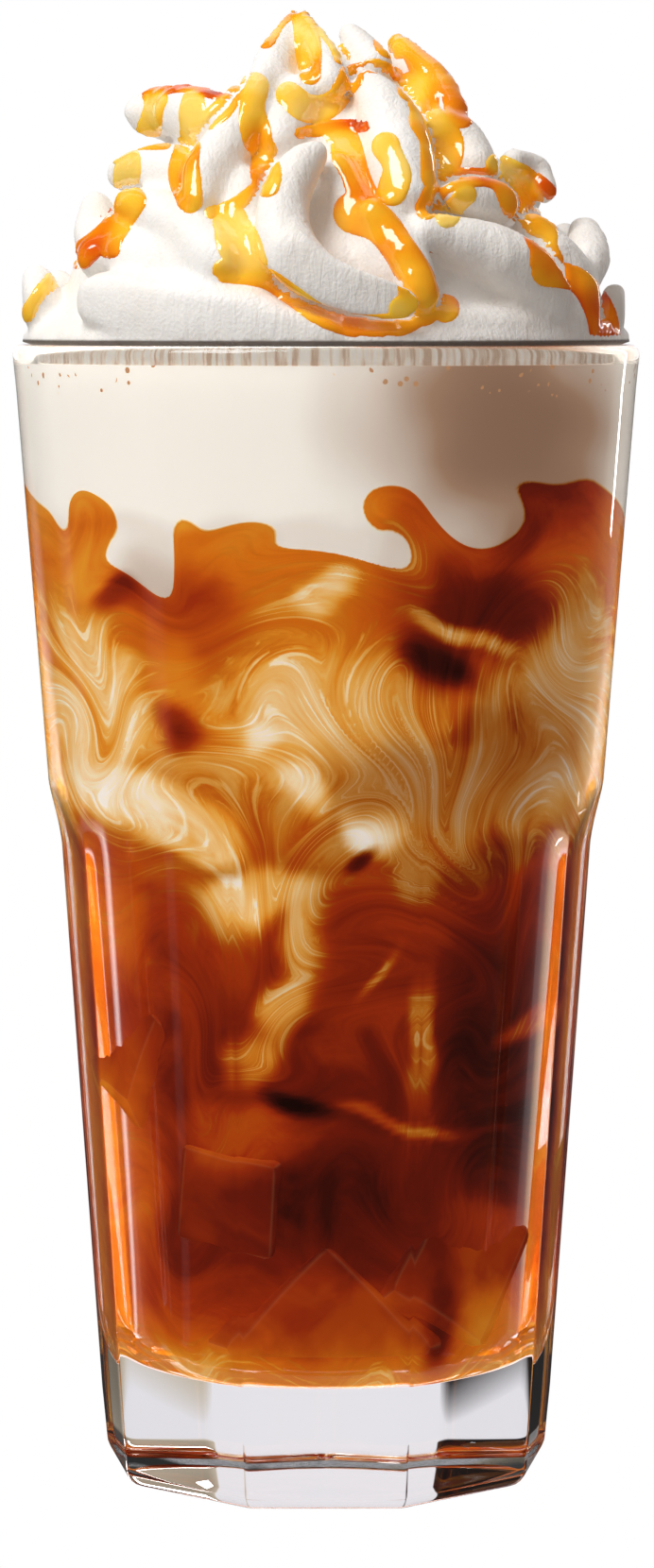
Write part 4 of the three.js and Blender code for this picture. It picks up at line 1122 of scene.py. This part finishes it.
class LATTE_OT_caramel(bpy.types.Operator):
    """Pour the caramel over the cream"""

    bl_idname = "latte.caramel"
    bl_label = "Caramel drizzle"

    def execute(self, context):
        glass, cream = context.scene.latte_tumbler, context.scene.latte_cream
        heap = bpy.data.objects["whipped_cream_heap"].data
        pours = pour_spots(glass)
        # The caramel is the heap's own skin where it is poured on, lifted by its thickness.
        shape = bmesh.new()
        shape.from_mesh(heap)
        shape.verts.ensure_lookup_table()
        skin = read_points(heap)
        # It pools in the creases: how far a smoother skin stands above each point.
        pool = shape.verts.layers.float.new("pool")
        for vert, even in zip(shape.verts, relaxed(skin, read_links(heap), POOL_ROUNDS)):
            vert[pool] = min(max(vert.normal.dot(Vector(even) - vert.co), 0), POOL_DEPTH * MM)
        least, _ = nearness(skin / MM, pours)
        bmesh.ops.delete(shape, geom=bare_points(shape, least, glass), context="VERTS")
        bmesh.ops.subdivide_edges(shape, edges=shape.edges, cuts=1, use_grid_fill=True)
        shape.normal_update()
        least, shade = nearness(np.array([vert.co for vert in shape.verts]) / MM, pours)
        # Flat in the middle, rounded at the edge, and tucked under the cream beyond it.
        rounded = np.sqrt(np.maximum(1 - least ** 4, 0))
        tucked = -EDGE_DIP * (np.minimum(least, CUT_AT) - 1)
        lift = np.where(least < 1, rounded, tucked) - SINK
        shade = THINNEST_TINT + OWN_TINT * shade + EDGE_TINT * np.clip(least, 0, 1.1) ** 6
        filled = np.clip((POOL_EDGE - least) / POOL_FADE, 0, 1)
        tint = shape.verts.layers.float.new("tint")
        # Where the skin was cut off at a fold, its outer rows of points sink under the cream as well.
        row = rows_from_cut(shape)
        for vert, height, share, value in zip(shape.verts, lift, filled, shade):
            inside = row.get(vert, CUT_ROWS) / CUT_ROWS
            height = inside * float(height) - CUT_DIP * (1 - inside) ** 2
            vert.co += vert.normal * (height * cream.drizzle_height * MM + inside * float(share) * vert[pool])
            vert[tint] = float(value)
        bmesh.ops.solidify(shape, geom=shape.faces, thickness=CARAMEL_BACKING * MM)
        bmesh.ops.scale(shape, vec=(1 / MM, 1 / MM, 1 / MM), verts=shape.verts)
        made = object_from(shape, "caramel_drizzle", caramel_material())
        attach(made, BODY)
        return {"FINISHED"}


def floor_material(backdrop):
    """The plain floor: white to the camera, and the same cards as the studio to the glass."""
    material, tree = new_material("white_floor")
    here = add(tree, "ShaderNodeNewGeometry").outputs["Position"]
    path = add(tree, "ShaderNodeLightPath").outputs
    bounce = path["Diffuse Depth"]
    matt = add(tree, "ShaderNodeMath", {"operation": "GREATER_THAN"}, {0: bounce, 1: 0.5}).outputs[0]
    bent = add(tree, "ShaderNodeMix", {"data_type": "RGBA"}, {
        0: path["Is Transmission Ray"], 6: grey(0.03), 7: ring(tree, here, CARDS),
    }).outputs[2]
    after = add(tree, "ShaderNodeMix", {"data_type": "RGBA"}, {0: matt, 6: bent, 7: CEILING}).outputs[2]
    glow = add(tree, "ShaderNodeMix", {"data_type": "RGBA"}, {
        0: path["Is Camera Ray"], 6: after, 7: (*backdrop, 1.0),
    }).outputs[2]
    surface = add(tree, "ShaderNodeEmission", None, {"Color": glow, "Strength": 1.0})
    add(tree, "ShaderNodeOutputMaterial", None, {"Surface": surface.outputs[0]})
    return material


def studio_world(backdrop):
    """The studio round it: plain to the camera, cards to the glass, and soft walls to what is matt."""
    world = bpy.data.worlds.new("studio")
    world.use_nodes = True
    world.cycles.sampling_method = "NONE"
    tree = world.node_tree
    tree.nodes.clear()
    way = add(tree, "ShaderNodeTexCoord").outputs["Generated"]
    rise = add(tree, "ShaderNodeSeparateXYZ", None, {0: way}).outputs["Z"]
    top = add(tree, "ShaderNodeMapRange", {"interpolation_type": "SMOOTHSTEP"}, {
        "Value": rise, "From Min": 0.3, "From Max": 0.8,
    }).outputs["Result"]
    walls, cards = ring(tree, way, WALLS), ring(tree, way, CARDS)
    lid = add(tree, "ShaderNodeMix", {"data_type": "RGBA"}, {0: top, 6: walls, 7: CEILING}).outputs[2]
    path = add(tree, "ShaderNodeLightPath").outputs
    bounce = path["Diffuse Depth"]
    matt = add(tree, "ShaderNodeMath", {"operation": "GREATER_THAN"}, {0: bounce, 1: 0.5}).outputs[0]
    after = add(tree, "ShaderNodeMix", {"data_type": "RGBA"}, {0: matt, 6: cards, 7: lid}).outputs[2]
    seen = add(tree, "ShaderNodeMix", {"data_type": "RGBA"}, {
        0: path["Is Camera Ray"], 6: after, 7: (*backdrop, 1.0),
    }).outputs[2]
    light = add(tree, "ShaderNodeBackground", None, {"Color": seen, "Strength": 1.0})
    add(tree, "ShaderNodeOutputWorld", None, {"Surface": light.outputs[0]})
    return world


def soft_light(name, wide, high, power, place, aim):
    """Hangs a rectangle of light at a place in metres, turned towards a height on the glass's axis."""
    light = bpy.data.lights.new(name, "AREA")
    light.shape = "RECTANGLE"
    light.size, light.size_y = wide, high
    light.energy = power
    lamp = bpy.data.objects.new(name, light)
    lamp.location = place
    lamp.rotation_euler = (Vector((0, 0, aim)) - lamp.location).to_track_quat("-Z", "Y").to_euler()
    bpy.context.collection.objects.link(lamp)


class LATTE_OT_stage(bpy.types.Operator):
    """Lay the floor, light the studio and set the camera"""

    bl_idname = "latte.stage"
    bl_label = "Studio"

    def execute(self, context):
        stage = context.scene.latte_stage
        shape = bmesh.new()
        bmesh.ops.create_grid(shape, x_segments=1, y_segments=1, size=FLOOR_REACH)
        floor = object_from(shape, "floor", floor_material(stage.backdrop))
        context.scene.world = studio_world(stage.backdrop)
        soft_light("key", 0.45, 0.6, stage.key_power, (-0.44, -0.36, 0.88), 0.15)
        soft_light("strip", 0.03, 0.5, 0.5, (0.51, 0.61, 0.3), 0.1)

        lens = bpy.data.cameras.new("camera")
        lens.sensor_fit = "VERTICAL"
        lens.sensor_height = 36.0
        lens.lens = EYE_LENS
        lens.clip_end = 60.0
        camera = bpy.data.objects.new("camera", lens)
        camera.location = (EYE_RIGHT * MM, -EYE_DISTANCE * MM, EYE_HEIGHT * MM)
        camera.rotation_euler = (math.radians(90 - EYE_TILT), 0, 0)
        context.collection.objects.link(camera)
        context.scene.camera = camera
        context.scene.view_settings.view_transform = "Standard"
        context.scene.cycles.max_bounces = 14
        context.scene.cycles.transmission_bounces = 12
        context.scene.cycles.caustics_refractive = True
        context.scene.cycles.caustics_reflective = False
        context.scene.cycles.sample_clamp_indirect = 8.0
        return {"FINISHED"}


class LATTE_PT_panel(bpy.types.Panel):
    """Lists the steps that build the drink"""

    bl_label = "Iced Latte"
    bl_idname = "LATTE_PT_panel"
    bl_space_type = "VIEW_3D"
    bl_region_type = "UI"
    bl_category = "Latte"

    def draw(self, context):
        for group in ("latte_tumbler", "latte_drink", "latte_cream", "latte_stage"):
            settings = getattr(context.scene, group)
            for name in settings.__annotations__:
                self.layout.prop(settings, name)
        for step in STEPS:
            self.layout.operator(step.bl_idname)


SETTINGS = {
    "latte_tumbler": TumblerSettings,
    "latte_drink": DrinkSettings,
    "latte_cream": CreamSettings,
    "latte_stage": StageSettings,
}
STEPS = [LATTE_OT_tumbler, LATTE_OT_drink, LATTE_OT_ice, LATTE_OT_cream, LATTE_OT_caramel, LATTE_OT_stage]


def register():
    for kind in [*SETTINGS.values(), *STEPS, LATTE_PT_panel]:
        bpy.utils.register_class(kind)
    for name, kind in SETTINGS.items():
        setattr(bpy.types.Scene, name, PointerProperty(type=kind))


def unregister():
    for name in SETTINGS:
        delattr(bpy.types.Scene, name)
    for kind in reversed([*SETTINGS.values(), *STEPS, LATTE_PT_panel]):
        bpy.utils.unregister_class(kind)


def main():
    register()
    bpy.ops.latte.tumbler()
    bpy.ops.latte.drink()
    bpy.ops.latte.ice()
    bpy.ops.latte.cream()
    bpy.ops.latte.caramel()
    bpy.ops.latte.stage()
    bpy.context.view_layer.update()


if __name__ == "__main__":
    main()
